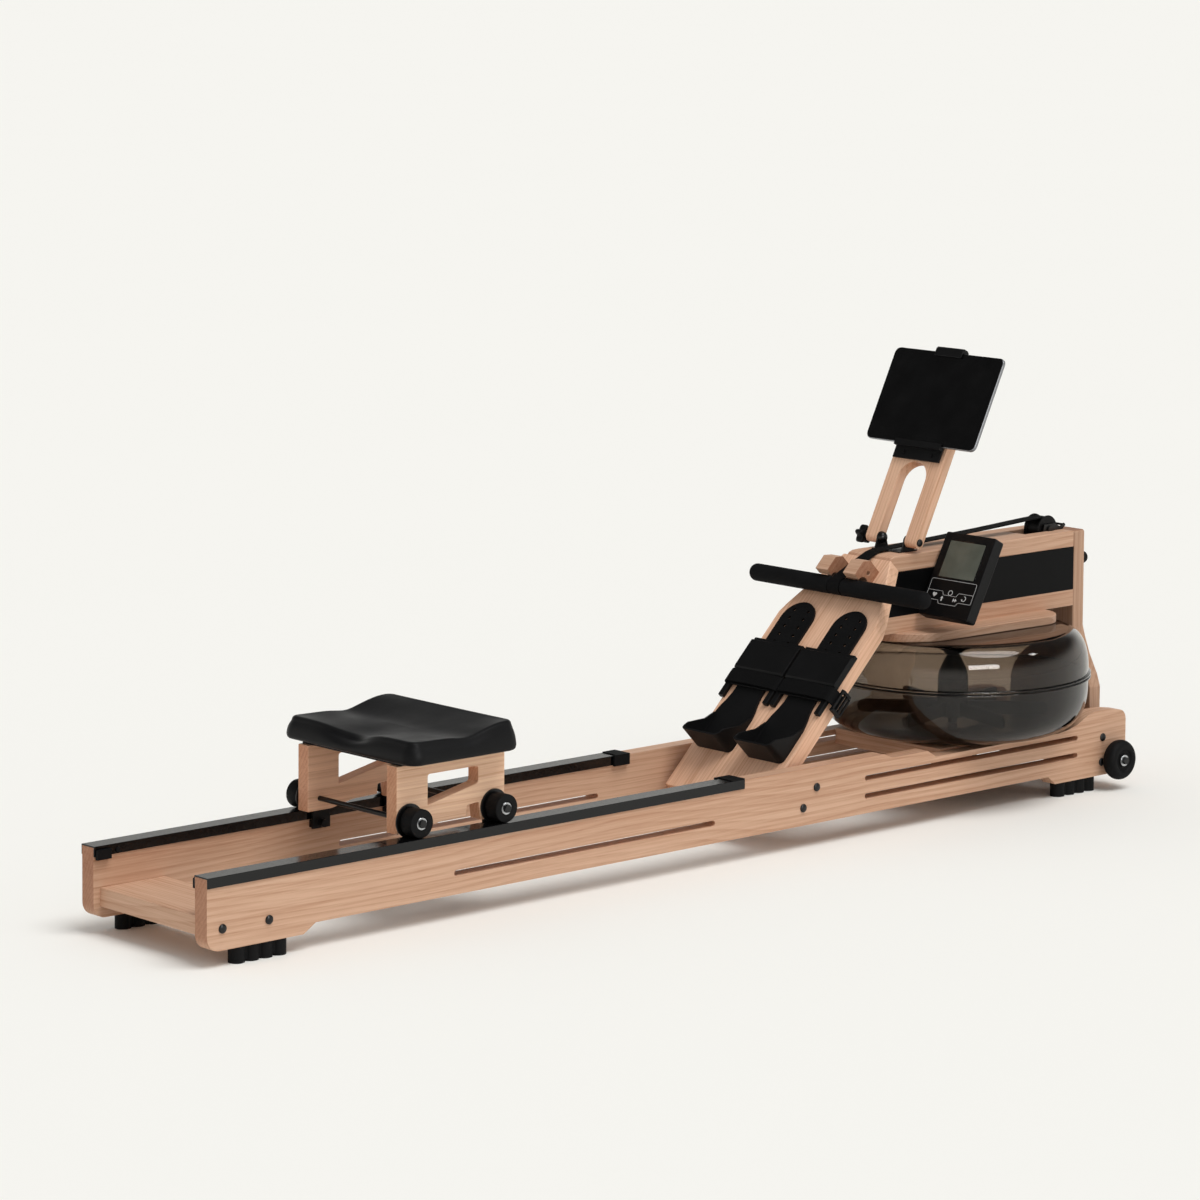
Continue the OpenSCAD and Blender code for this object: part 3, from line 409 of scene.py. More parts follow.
class Finish:
    """A procedural material under construction: one Principled shader and the nodes that feed it."""

    def __init__(self, name, colour, roughness=0.5, **sockets):
        self.material = bpy.data.materials.new(name)
        self.material.use_nodes = True
        self.tree = self.material.node_tree
        self.shader = self.tree.nodes["Principled BSDF"]
        self.shader.inputs["Base Color"].default_value = colour
        self.shader.inputs["Roughness"].default_value = roughness
        for socket, value in sockets.items():
            self.shader.inputs[socket.replace("_", " ")].default_value = value

    def add(self, kind, inputs=None, **settings):
        node = self.tree.nodes.new("ShaderNode" + kind)
        for key, value in settings.items():
            setattr(node, key, value)
        for key, value in (inputs or {}).items():
            socket = node.inputs[key]
            if isinstance(value, bpy.types.NodeSocket):
                self.tree.links.new(value, socket)
            else:
                socket.default_value = value
        return node

    def feed(self, socket, output):
        self.tree.links.new(output, self.shader.inputs[socket])

    def coords(self, turn=(0, 0, 0), shift=(0, 0, 0), kind="Object"):
        source = self.add("TexCoord").outputs[kind]
        return self.add(
            "Mapping",
            {"Vector": source, "Rotation": turn, "Location": shift},
        ).outputs[0]

    def stretch(self, vector, scale):
        return self.add("Mapping", {"Vector": vector, "Scale": scale}).outputs[0]

    def noise(self, vector, scale, detail=3.0, rough=0.55):
        return self.add(
            "TexNoise",
            {"Vector": vector, "Scale": scale, "Detail": detail, "Roughness": rough},
        ).outputs["Fac"]

    def maths(self, operation, a, b=0.0, c=0.0):
        node = self.add("Math", operation=operation)
        for socket, value in zip(node.inputs, (a, b, c)):
            if isinstance(value, bpy.types.NodeSocket):
                self.tree.links.new(value, socket)
            else:
                socket.default_value = value
        return node.outputs[0]

    def spread(self, value, low, high, to_low=0.0, to_high=1.0):
        return self.add(
            "MapRange",
            {
                "Value": value,
                "From Min": low,
                "From Max": high,
                "To Min": to_low,
                "To Max": to_high,
            },
        ).outputs[0]

    def blend(self, amount, first, second, mode="MIX"):
        node = self.add("Mix", data_type="RGBA", blend_type=mode)
        for index, value in ((0, amount), (6, first), (7, second)):
            if isinstance(value, bpy.types.NodeSocket):
                self.tree.links.new(value, node.inputs[index])
            else:
                node.inputs[index].default_value = value
        return node.outputs[2]

    def bump(self, height, strength, distance):
        node = self.add("Bump", {"Height": height, "Strength": strength, "Distance": distance})
        self.feed("Normal", node.outputs[0])


GRAIN_TURNS = {
    "x": (0, 0, 0),
    "y": (0, 0, -math.pi / 2),
    "z": (0, math.pi / 2, 0),
    "board": (0, math.pi / 4, 0),
}


def wood(name, finish, grain="x", shift=0.0, tone_and_painted_light=1.0, lean=None):
    """Oiled ash. Growth rings are bands across the grain, bent by slow noise along it; fibres and
    pores are fine noise drawn out along the grain, and the end grain, which faces along it, drinks more
    oil and is darker. Shift moves the figure and the tone factor scales the colours, so that no two boards
    match; that factor is partly each board's own tone and partly painted light and shade, paler on boards
    that are lit more and darker on boards that are lit less."""
    turn = (0, lean, 0) if lean is not None else GRAIN_TURNS[grain]
    make = Finish(name, finish.wood_light, roughness=0.5, Specular_IOR_Level=0.3)
    along = make.coords(turn=turn, shift=(shift * 3.1, shift * 0.37, shift * 0.53))
    slow = make.noise(make.stretch(along, (1.0, 5.0, 5.0)), 1.0, 2.0)
    warp = make.noise(make.stretch(along, (3.0, 24.0, 24.0)), 1.0, 3.0)
    parts = make.add("SeparateXYZ", {"Vector": along})
    across = make.maths("MULTIPLY_ADD", parts.outputs[2], 0.62, parts.outputs[1])
    across = make.maths("MULTIPLY_ADD", slow, 0.075, across)
    across = make.maths("MULTIPLY_ADD", warp, 0.005, across)
    rings = make.maths("FRACT", make.maths("MULTIPLY", across, 140.0))
    late = make.maths("POWER", rings, 2.2)
    late = make.maths("MULTIPLY", late, make.spread(rings, 0.9, 1.0, 1.0, 0.0))
    fibre = make.noise(make.stretch(along, (8.0, 520.0, 520.0)), 1.0, 4.0, 0.7)
    pore = make.noise(make.stretch(along, (22.0, 1100.0, 1100.0)), 1.0, 2.0, 0.5)
    pores = make.maths("MULTIPLY", make.spread(pore, 0.58, 0.7), make.maths("ADD", late, 0.2))
    broad = make.noise(make.stretch(along, (0.6, 13.0, 13.0)), 1.0, 2.0)
    streak = make.noise(make.stretch(along, (2.6, 140.0, 140.0)), 1.0, 3.0, 0.6)
    amount = make.maths("MULTIPLY", late, 0.46)
    amount = make.maths("MULTIPLY_ADD", make.spread(fibre, 0.3, 0.7, -0.5, 0.5), 0.6, amount)
    amount = make.maths("MULTIPLY_ADD", make.spread(streak, 0.3, 0.7, -0.5, 0.5), 0.5, amount)
    amount = make.maths("MULTIPLY_ADD", make.spread(broad, 0.3, 0.7, -0.5, 0.5), 0.42, amount)
    amount = make.maths("MULTIPLY_ADD", pores, 0.4, amount)
    # The tone factor scales both colours: the board's own tone, with painted light and shade in it
    light = tuple(min(1.0, tone_and_painted_light * c) for c in finish.wood_light[:3]) + (1.0,)
    dark = tuple(tone_and_painted_light * c for c in finish.wood_dark[:3]) + (1.0,)
    colour = make.blend(make.spread(amount, -0.25, 1.0), light, dark)
    facing = make.add("TexCoord").outputs["Normal"]
    facing = make.add("Mapping", {"Vector": facing, "Rotation": turn}, vector_type="NORMAL").outputs[0]
    facing = make.add("SeparateXYZ", {"Vector": facing}).outputs[0]
    ends = make.maths("POWER", make.maths("ABSOLUTE", facing), 4.0)
    oiled = make.blend(1.0, colour, finish.wood_end, "MULTIPLY")
    make.feed("Base Color", make.blend(make.maths("MULTIPLY", ends, 0.85), colour, oiled))
    make.feed("Roughness", make.spread(fibre, 0.3, 0.7, 0.44, 0.58))
    make.bump(make.maths("MULTIPLY_ADD", pores, -1.0, fibre), 0.22, 0.0003)
    return make.material


def plastic(name, colour, roughness=0.42, grain=900.0, depth=0.00006, specular=0.25):
    """Moulded plastic: an even colour with faint mottling and the fine spark texture of a mould."""
    make = Finish(name, colour, roughness, Specular_IOR_Level=specular)
    place = make.coords()
    mottle = make.noise(place, 14.0, 3.0)
    dark = tuple(0.82 * c for c in colour[:3]) + (1.0,)
    light = tuple(min(1.0, 1.2 * c) for c in colour[:3]) + (1.0,)
    make.feed("Base Color", make.blend(make.spread(mottle, 0.35, 0.65), dark, light))
    spark = make.noise(place, grain, 2.0)
    make.feed("Roughness", make.spread(spark, 0.3, 0.7, roughness - 0.05, roughness + 0.06))
    make.bump(spark, 0.4, depth)
    return make.material


def foam(name, colour, roughness=0.75, specular=0.1, dust=1.5, sheen=0.0):
    """Closed-cell foam: dull, with small cells, a little dust-grey on its high spots and a soft sheen."""
    make = Finish(
        name,
        colour,
        roughness,
        Specular_IOR_Level=specular,
        Sheen_Weight=sheen,
        Sheen_Roughness=0.35,
    )
    place = make.coords()
    cells = make.add("TexVoronoi", {"Vector": place, "Scale": 950.0}).outputs["Distance"]
    patch = make.noise(place, 18.0, 4.0)
    pale = tuple(min(1.0, dust * c) for c in colour[:3]) + (1.0,)
    make.feed("Base Color", make.blend(make.spread(patch, 0.4, 0.75), colour, pale))
    make.feed("Roughness", make.spread(patch, 0.3, 0.7, roughness - 0.06, roughness + 0.08))
    make.bump(cells, 0.3, 0.00012)
    return make.material


def webbing(name, colour):
    """Woven strap: cords run along it and the weft crosses them every 1.6 mm, read from the strap's UV."""
    make = Finish(name, colour, 0.75, Specular_IOR_Level=0.1)
    parts = make.add("SeparateXYZ", {"Vector": make.coords(kind="UV")})
    warp = make.maths("SINE", make.maths("MULTIPLY", parts.outputs[1], 2 * math.pi / 0.0022))
    weft = make.maths("SINE", make.maths("MULTIPLY", parts.outputs[0], 2 * math.pi / 0.0032))
    weave = make.maths("MULTIPLY", warp, weft)
    dark = tuple(0.5 * c for c in colour[:3]) + (1.0,)
    make.feed("Base Color", make.blend(make.spread(weave, -1, 1), dark, colour))
    make.bump(weave, 0.5, 0.0003)
    return make.material


def metal(name, colour, roughness=0.28):
    """Turned or drawn steel: fine brushing and a few dull spots."""
    make = Finish(name, colour, roughness, Metallic=1.0)
    place = make.coords()
    marks = make.noise(place, 160.0, 4.0)
    make.feed("Roughness", make.spread(marks, 0.3, 0.7, roughness - 0.08, roughness + 0.12))
    dull = tuple(0.8 * c for c in colour[:3]) + (1.0,)
    make.feed("Base Color", make.blend(make.spread(marks, 0.35, 0.65), dull, colour))
    make.bump(marks, 0.1, 0.0001)
    return make.material


def smoked(name, colour, roughness=0.015):
    """Smoked clear plastic, a little uneven from its moulding. At a glancing angle light goes a longer
    way through the wall, so the tint deepens there; it falls to an eighth of the tint, far deeper than
    the wall alone makes it, and that extra darkening is painted shade."""
    make = Finish(name, colour, roughness, Transmission_Weight=1.0, IOR=1.4)
    wave = make.noise(make.coords(), 7.0, 1.0)
    deep = tuple(0.93 * c for c in colour[:3]) + (1.0,)
    # Tint at a glancing angle: an eighth of the tint, partly the longer way through the wall and partly
    # painted shade
    long_way_and_painted_shade = tuple(0.12 * c for c in colour[:3]) + (1.0,)
    glancing = make.add("LayerWeight", {"Blend": 0.5}).outputs["Facing"]
    glancing = make.spread(glancing, 0.08, 0.7)
    make.feed("Base Color", make.blend(glancing, make.blend(wave, deep, colour), long_way_and_painted_shade))
    make.bump(wave, 0.05, 0.002)
    return make.material


def printed(name, colour):
    """Pad-printed ink: a flat tone, slightly broken by the texture below it."""
    make = Finish(name, colour, 0.6, Specular_IOR_Level=0.2)
    fleck = make.noise(make.coords(), 1600.0, 2.0)
    thin = tuple(0.7 * c for c in colour[:3]) + (1.0,)
    make.feed("Base Color", make.blend(make.spread(fleck, 0.35, 0.6), thin, colour))
    return make.material


# ---------- sizes and finishes ----------


def colour_property(name, description, value):
    return bpy.props.FloatVectorProperty(
        name=name,
        description=description,
        subtype="COLOR",
        size=4,
        min=0.0,
        max=1.0,
        default=value,
    )


def length_property(name, description, value, low=0.0, high=3.0):
    return bpy.props.FloatProperty(
        name=name,
        description=description,
        default=value,
        min=low,
        max=high,
        unit="LENGTH",
        subtype="DISTANCE",
        precision=4,
    )


def angle_property(name, description, degrees):
    return bpy.props.FloatProperty(
        name=name,
        description=description,
        default=math.radians(degrees),
        unit="ROTATION",
        subtype="ANGLE",
    )


class RowerSizes(bpy.types.PropertyGroup):
    """Sizes that a user would change without touching the frame."""

    board_edge: length_property("Board edge", "Radius on the edges of the boards", 0.002, 0.0002, 0.005)
    steel_edge: length_property("Steel edge", "Radius on the edges of steel pieces", 0.0006, 0.0001, 0.002)
    plastic_edge: length_property(
        "Plastic edge", "Radius on the edges of moulded pieces", 0.001, 0.0001, 0.003
    )
    tank_wall: length_property("Tank wall", "Thickness of the tank's shells", 0.004, 0.002, 0.006)
    strap_width: length_property("Strap width", "Width of the pull strap", 0.026, 0.02, 0.028)
    strap_thickness: length_property("Strap thickness", "Thickness of every strap", 0.002, 0.001, 0.003)
    board_foot: length_property("Footboard foot", "Distance of the footboard's foot from the middle", 0.137)
    board_foot_height: length_property("Footboard height", "Height of the footboard's foot", 0.074)
    board_length: length_property("Footboard length", "Length of the footboard up its face", 0.504)
    board_lean: angle_property("Footboard lean", "Slope of the footboard above the floor", 45)
    foot_spacing: length_property("Foot spacing", "Distance of each foot rest from the middle", 0.060)
    console_lean: angle_property("Console lean", "Lean of the console's face from the vertical", 28)
    console_length: length_property("Console length", "Height of the console along its face", 0.150)
    console_width: length_property("Console width", "Width of the console", 0.113)
    console_depth: length_property("Console depth", "Thickness of the console", 0.022)
    console_pivot_depth: length_property(
        "Console pivot", "Depth of the console's pivot behind its face", 0.032
    )
    arm_lean: angle_property("Tablet arm lean", "Lean of the tablet arm from the vertical", 26.5)


class RowerFinish(bpy.types.PropertyGroup):
    """Colours of the machine's finishes."""

    wood_light: colour_property("Wood, light", "Pale spring wood of the ash boards", tone(235, 192, 161))
    wood_end: colour_property(
        "End grain", "Tone that the end grain takes on over the boards' own", tone(211, 184, 168)
    )
    wood_dark: colour_property("Wood, dark", "Darker summer wood of the ash boards", tone(190, 135, 100))
    satin_black: colour_property("Satin black", "Moulded plastic parts", tone(15, 15, 16))
    gloss_black: colour_property("Gloss black", "Tracks, panels and glass", tone(8, 8, 9))
    rubber: colour_property("Rubber", "Feet, tyres and bumpers", tone(15, 15, 16))
    grip: colour_property("Grip foam", "Foam of the handle", tone(14, 14, 15))
    pad: colour_property("Seat pad", "Moulded foam of the seat", tone(18, 18, 19))
    strap: colour_property("Webbing", "Pull strap and foot straps", tone(14, 14, 15))
    smoke_upper: colour_property("Tank, upper", "Tint of the upper shell", tone(186, 171, 156))
    smoke_lower: colour_property("Tank, lower", "Tint of the lower shell", tone(154, 144, 134))
    steel: colour_property("Bright steel", "Bearing rings and shafts", tone(196, 198, 200))
    silver: colour_property("Silver", "Metal case of the tablet", tone(150, 151, 154))
    screen: colour_property("Screen", "Grey-green glass of the console", tone(100, 104, 94))
    ink: colour_property("Ink", "Printed lines and icons of the console", tone(224, 226, 226))
    floor: colour_property("Floor", "Plain pale floor and backdrop", tone(246, 245, 240))


def settings(context):
    return context.scene.rower_sizes, context.scene.rower_finish


CACHE = {}


def finish_of(key, build):
    """Each shared material is made once."""
    if key not in CACHE:
        CACHE[key] = build()
    return CACHE[key]


def satin(finish):
    return finish_of("satin", lambda: plastic("satin black plastic", finish.satin_black, 0.45, specular=0.16))


def gloss(finish):
    build = lambda: plastic("gloss black", finish.gloss_black, 0.16, 200.0, 0.00001, 0.35)
    return finish_of("gloss", build)


def rubber(finish):
    return finish_of("rubber", lambda: plastic("black rubber", finish.rubber, 0.6, 500.0, 0.0001, 0.12))


def black_steel(finish):
    build = lambda: plastic("black oxide steel", finish.gloss_black, 0.32, 300.0, 0.00003, 0.4)
    return finish_of("black steel", build)


def bright_steel(finish):
    return finish_of("bright steel", lambda: metal("bright steel", finish.steel))


def strap_cloth(finish):
    return finish_of("webbing", lambda: webbing("black webbing", finish.strap))


def ink(finish):
    return finish_of("ink", lambda: printed("grey ink", finish.ink))


class RowerOperator(bpy.types.Operator):
    """Shared start of the machine's operators."""

    bl_options = {"REGISTER"}


# ---------- boards ----------

# Node, direction of its grain, shift of its figure and its tone factor, partly the board's own tone and
# partly painted light and shade
BOARDS = [
    ("rail_near", "x", 0.0, 0.83),
    ("rail_far", "x", 1.3, 0.8),
    ("rear_cross_board", "y", 0.6, 0.79),
    ("front_cross_board", "y", 2.1, 0.82),
    ("tank_supports", "y", 3.4, 0.82),
    ("footboard", "board", 0.9, 1.03),
    ("footboard_cleat", "y", 1.9, 0.82),
    ("hook_blocks", "y", 2.7, 0.74),
    ("upper_beam", "x", 2.4, 0.8),
    ("lower_beam", "x", 3.1, 0.8),
    ("front_upright", "z", 1.1, 0.64),
    ("tank_top_plate", "x", 4.2, 0.74),
]
# The seat's side boards: node, shift of its figure and its tone factor, partly their own tone and partly
# painted light; their grain runs along X
CARRIAGES = [("carriage_near", 5.1, 1.27), ("carriage_far", 6.3, 1.18)]


class ROWER_OT_boards(RowerOperator):
    """Ash boards with rounded edges, each with a figure of its own along its length"""

    bl_idname = "rower.boards"
    bl_label = "Boards"

    def execute(self, context):
        sizes, finish = settings(context)
        for node, grain, shift, tone_and_painted_light in BOARDS:
            material = wood("ash " + node.replace("_", " "), finish, grain, shift, tone_and_painted_light)
            dressed(node, material, sizes.board_edge, slot="ash_wood")
        # The arm's tone factor is partly painted light
        material = wood("ash tablet arm", finish, shift=7.7, tone_and_painted_light=1.04, lean=math.pi / 2 - sizes.arm_lean)
        dressed("tablet_arm", material, 1.5 * sizes.board_edge, slot="ash_wood")
        self.carriages(sizes, finish)
        return {"FINISHED"}

    def carriages(self, sizes, finish):
        """Side boards of the seat: a board with a slanting window, arched and notched below."""
        for node, shift, tone_and_painted_light in CARRIAGES:
            low, high, _ = span(node)
            tall = 1000 * (high[2] - low[2])
            # In millimetres from the board's lower rear corner
            corners = [
                (0, 0),
                (47, 0),
                (89, 9),
                (137, 10),
                (139, 26),
                (162, 28),
                (166, 0),
                (214, 0),
                (214, tall),
                (0, tall),
            ]
            corner = np.array([low[0], low[2]])
            outline = rounded(corners, [1.5, 8, 8, 2, 2, 2, 1.5, 1.5, 1.5, 1.5], 6)
            window = rounded([(61, 37), (161, 57.9), (161, 84), (61, 84)], [1.5, 5, 5, 5], 8)
            board = pierced(
                node + "_board",
                corner + outline / 1000,
                [corner + window / 1000],
                low[1],
                high[1],
                0.6 * sizes.board_edge,
            )
            material = wood("ash " + node.replace("_", " "), finish, "x", shift, tone_and_painted_light)
            fit(board, body_of(node), material, "ash_wood", node)


class ROWER_OT_tracks(RowerOperator):
    """Gloss tracks along the rails, their stops and the dark panels between the beams"""

    bl_idname = "rower.tracks"
    bl_label = "Tracks and panels"

    def execute(self, context):
        sizes, finish = settings(context)
        for node in ("track_near", "track_far"):
            dressed(node, gloss(finish), sizes.steel_edge, slot="gloss_black")
        panel = plastic("black laminate", finish.gloss_black, 0.34, 420.0, 0.00002, 0.08)
        dressed("side_panels", panel, sizes.steel_edge, slot="gloss_black")
        dressed("track_stops", rubber(finish), sizes.steel_edge, slot="black_rubber")
        return {"FINISHED"}


# ---------- tank ----------


def dome(r_flat, r_out, z0, z1, power, steps=28):
    """Quarter of a superellipse of the given power p: r = r_flat + (r_out - r_flat) cos^(2/p) t and
    z = z0 + (z1 - z0) sin^(2/p) t."""
    t = np.linspace(0, math.pi / 2, steps)
    r = r_flat + (r_out - r_flat) * np.cos(t).clip(0) ** (2 / power)
    z = z0 + (z1 - z0) * np.sin(t) ** (2 / power)
    return np.stack([r, z], -1)


def shell_profile(radius, wall, seam, end, flat, power, hole):
    """Outline of one shell: flange at the seam, outer dome up to the hole, then the inner dome back."""
    way = 1 if end > seam else -1
    rim, round_ = 0.004, 0.0008
    outer = dome(flat, radius - rim, seam + way * rim, end, power)
    inner = dome(flat, radius - rim - wall, seam + way * rim, end - way * wall, power)[::-1]
    flange = [
        (radius - rim - wall, seam),
        (radius - round_, seam),
        (radius, seam + way * round_),
        (radius, seam + way * 0.0026),
        (radius - round_, seam + way * 0.0034),
    ]
    return np.concatenate([flange, outer, [(hole, end), (hole, end - way * wall)], inner])


class ROWER_OT_tank(RowerOperator):
    """Smoked water tank: two domed shells, the seal between them, the paddle and its shaft"""

    bl_idname = "rower.tank"
    bl_label = "Tank"

    def execute(self, context):
        sizes, finish = settings(context)
        low, high, middle = span("tank_upper_shell")
        floor = span("tank_lower_shell")[0][2]
        radius, seam, top = (high[0] - low[0]) / 2, low[2] - 0.001, high[2]
        centre = (middle[0], middle[1], 0)
        wall = sizes.tank_wall
        upper = shell_profile(radius, wall, seam + 0.001, top, 0.8 * radius, 2.5, 0.01405)
        lower = shell_profile(radius, wall, seam - 0.001, floor, 0.6 * radius, 2.9, 0.0)
        clear = smoked("smoked clear plastic, upper", finish.smoke_upper)
        deep = smoked("smoked clear plastic, lower", finish.smoke_lower)
        piece = lathe("tank_upper", upper, centre=centre, steps=180, smooth=50)
        fit(piece, "frame", clear, "smoked_plastic", "tank_upper_shell")
        piece = lathe("tank_lower", lower, centre=centre, steps=180, smooth=50)
        fit(piece, "frame", deep, "smoked_plastic", "tank_lower_shell")
        dressed("tank_seal", rubber(finish), 0.0003, slot="black_rubber")
        self.paddle(finish, middle[0])
        self.housing(finish, centre, sizes.tank_wall)
        return {"FINISHED"}

    def paddle(self, finish, x):
        """Hub turned about the shaft, and six upright blades with rounded corners: every point of a
        blade lies r out along its angle and w across it, (r cos a - w sin a, r sin a + w cos a)."""
        low, high, _ = span("paddle")
        b, top = low[2] - 0.0055, high[2]
        profile = [
            (0.0, low[2]),
            (0.0080, low[2]),
            (0.0080, b + 0.018),
            (0.0245, b + 0.018),
            (0.0260, b + 0.020),
            (0.0260, b + 0.085),
            (0.0245, b + 0.096),
            (0.0110, b + 0.129),
            (0.0080, b + 0.130),
            (0.0080, top),
            (0.0, top),
        ]
        pieces = [lathe("hub", profile, centre=(x, 0, 0), steps=64, loop=False)]
        low_edge, high_edge, tip = b + 0.022, b + 0.046, (high[0] - low[0]) / 2 - 0.001
        corners = [(0.02, low_edge), (tip, low_edge), (tip, high_edge), (0.02, high_edge)]
        out, up = rounded(corners, [0.001, 0.012, 0.018, 0.001], 6).T
        half_thick = 0.0015
        for a in np.radians(np.arange(15, 375, 60)):
            sides = [
                np.stack([x + out * np.cos(a) - w * np.sin(a), out * np.sin(a) + w * np.cos(a), up], -1)
                for w in (-half_thick, half_thick)
            ]
            pieces.append(surface("blade", sides, wrap_cols=True, caps=(True, True)))
        fit(joined("paddle_wheel", pieces), body_of("paddle"), satin(finish), "black_plastic", "paddle")

    def housing(self, finish, centre, wall):
        """Bearing housing under the roof: a flange that falls in the curve h = -3 mm - a / (r - b)
        to a neck on the shaft, with the bush above it."""
        low, high, _ = span("shaft_bush")
        roof, rim, bore = span("tank_upper_shell")[1][2] - wall, (high[0] - low[0]) / 2, 0.00805
        r = np.linspace(0.0135, 0.075, 22)
        a, b = 0.00034, 0.0044
        curve = np.stack([r, roof - 0.003 + 0.0045 * (r - 0.0135) / 0.0615 - a / (r - b)], -1)
        curve[:, 1] = np.maximum(curve[:, 1], low[2] + 0.0004)
        outer = [(rim, roof - 0.003), (rim, roof - 0.0006)]
        top = [(0.0139, roof - 0.0006), (0.0139, high[2] - 0.0005), (0.0134, high[2]), (bore, high[2])]
        profile = np.concatenate([[(bore, low[2]), (0.0128, low[2])], curve, outer, top])
        piece = lathe("shaft_housing", profile, centre=centre, smooth=50)
        fit(piece, "frame", satin(finish), "black_plastic", "shaft_bush")


# ---------- strap ----------


class ROWER_OT_strap(RowerOperator):
    """Webbing strap from the handle over the board and the pulley to the drum, and what carries it"""

    bl_idname = "rower.strap"
    bl_label = "Strap and pulley"

    def execute(self, context):
        sizes, finish = settings(context)
        self.webbing(sizes, finish)
        for node in ("strap_drum", "recoil_case", "front_pulley"):
            dressed(node, satin(finish), sizes.plastic_edge, slot="black_plastic")
        dressed("pulley_bracket", black_steel(finish), sizes.steel_edge, slot="black_steel")
        return {"FINISHED"}

    def webbing(self, sizes, finish):
        """The outer run follows the points of the route and the pulley's arc. The inner run leaves the
        pulley flat and turns upright on its way to the drum: width = (0, cos a, sin a), where
        a = 90 t^2 (3 - 2 t) degrees."""
        width, thick = sizes.strap_width, sizes.strap_thickness
        pulley = np.array(JOINTS["pulley_spin"]["pos_m"], float)[[0, 2]]
        drum = np.array(JOINTS["drum_spin"]["pos_m"], float)
        low, high, grip = span("handle_grips")
        hold, loop = grip[[0, 2]], (high[2] - low[2]) / 2 - thick / 2
        board = board_axes(sizes)
        nose = board.place([sizes.board_length, 0, 0.0026])[[0, 2]]
        beam = span("upper_beam")[1][2]
        reach = nose - hold
        leave = math.atan2(reach[1], reach[0]) - math.asin(loop / np.linalg.norm(reach)) + math.pi / 2
        wrap, coil = 0.0212, 0.0293
        turn = np.radians(np.linspace(90, -84, 40))
        arc = pulley + wrap * np.stack([np.cos(turn), np.sin(turn)], -1)
        start = hold + loop * np.array([math.cos(leave), math.sin(leave)])
        approach = [
            start,
            nose,
            (nose[0] + 0.013, beam + 0.0017),
            (nose[0] + 0.030, beam + 0.0042),
            (pulley[0] - 0.150, beam + 0.0151),
            (pulley[0] - 0.040, pulley[1] + wrap - 0.0016),
            arc[0],
        ]
        outer = np.concatenate([even_path(approach, 0.004, 2)[:-1], arc])
        path = np.stack([outer[:, 0], 0 * outer[:, 0], outer[:, 1]], -1)
        t = np.linspace(0, 1, 60)
        ease = lambda v: v * v * (3 - 2 * v)
        last = path[-1]
        inner = np.stack(
            [
                last[0] + (drum[0] - last[0]) * t,
                coil * ease(t),
                last[2] + (drum[2] - last[2]) * ease(np.minimum(1, t / 0.8)),
            ],
            -1,
        )
        bend = np.radians(90 * ease(t))
        across = np.stack([0 * t, np.cos(bend), np.sin(bend)], -1)
        path = np.concatenate([path, inner[1:]])
        across = np.concatenate([np.tile([0.0, 1.0, 0.0], (len(outer), 1)), across[1:]])
        run = ribbon("pull_strap_run", path, across, width, thick)
        run.data.materials.append(strap_cloth(finish))
        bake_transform(run)
        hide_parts("pull_strap")
        a = np.linspace(0, 2 * math.pi, 73)
        ring = np.stack([hold[0] + loop * np.cos(a), 0 * a, hold[1] + loop * np.sin(a)], -1)
        piece = ribbon("pull_strap_loop", ring, (0, 1, 0), width, thick)
        fit(piece, "handle", strap_cloth(finish), "webbing")
        ring = np.stack([drum[0] + coil * np.sin(a), coil * np.cos(a), 0 * a + drum[2]], -1)
        piece = ribbon("pull_strap_wrap", ring, (0, 0, 1), width, thick)
        fit(piece, "frame", strap_cloth(finish), "webbing")


# ---------- handle ----------


class ROWER_OT_handle(RowerOperator):
    """Handle bar with its foam grips"""

    bl_idname = "rower.handle"
    bl_label = "Handle"

    def execute(self, context):
        _, finish = settings(context)
        material = foam("grip foam", finish.grip)
        low, high, middle = span("handle_grips")
        radius = (high[2] - low[2]) / 2
        half = (high[1] - low[1]) / 2
        cap, lip, bore = 0.013, 0.002, 0.0091
        t = np.linspace(0, math.pi / 2, 10)
        for name, side in SIDES.items():
            tip = np.stack([(radius - cap) + cap * np.cos(t), half - cap + cap * np.sin(t)], -1)
            inner = np.stack([radius - lip + lip * np.sin(t), 0.0165 - lip * np.cos(t)], -1)
            end = [(0.0, half), (0.0, half - 0.01), (bore, half - 0.01)]
            profile = np.concatenate([[(bore, 0.0145)], inner, tip, end])
            profile[:, 1] *= side
            grip = lathe("grip_" + name, profile, centre=(middle[0], 0, middle[2]), along="y", steps=72)
            stands = ("handle_grips",) if side == NEAR else ()
            fit(grip, "handle", material, "grip_foam", *stands)
        dressed("handle_core", material, 0.0004, slot="grip_foam")
        return {"FINISHED"}


# ---------- seat ----------


def pad_outline(half_l, half_w, inset, notch):
    """Rounded rectangle inset from the pad's rim, walked once round from its front edge.
    Its rear edge is dented by notch in a bell curve, exp(-(y / 38 mm)^2)."""
    l, w = half_l - inset, half_w - inset
    r = max(0.005, 0.024 - inset)
    row = lambda count: (np.arange(count) + 0.5) / count * 2 - 1
    a = np.linspace(0, math.pi / 2, 10)
    corner = lambda x, y, start: np.stack([x + r * np.cos(a + start), y + r * np.sin(a + start)], -1)
    y = -row(36) * (w - r)
    return np.concatenate(
        [
            np.stack([np.full(24, l), row(24) * (w - r)], -1),
            corner(l - r, w - r, 0),
            np.stack([-row(20) * (l - r), np.full(20, w)], -1),
            corner(r - l, w - r, math.pi / 2),
            np.stack([notch * np.exp(-((y / 0.038) ** 2)) - l, y], -1),
            corner(r - l, r - w, math.pi),
            np.stack([row(20) * (l - r), np.full(20, -w)], -1),
            corner(l - r, r - w, 1.5 * math.pi),
        ]
    )


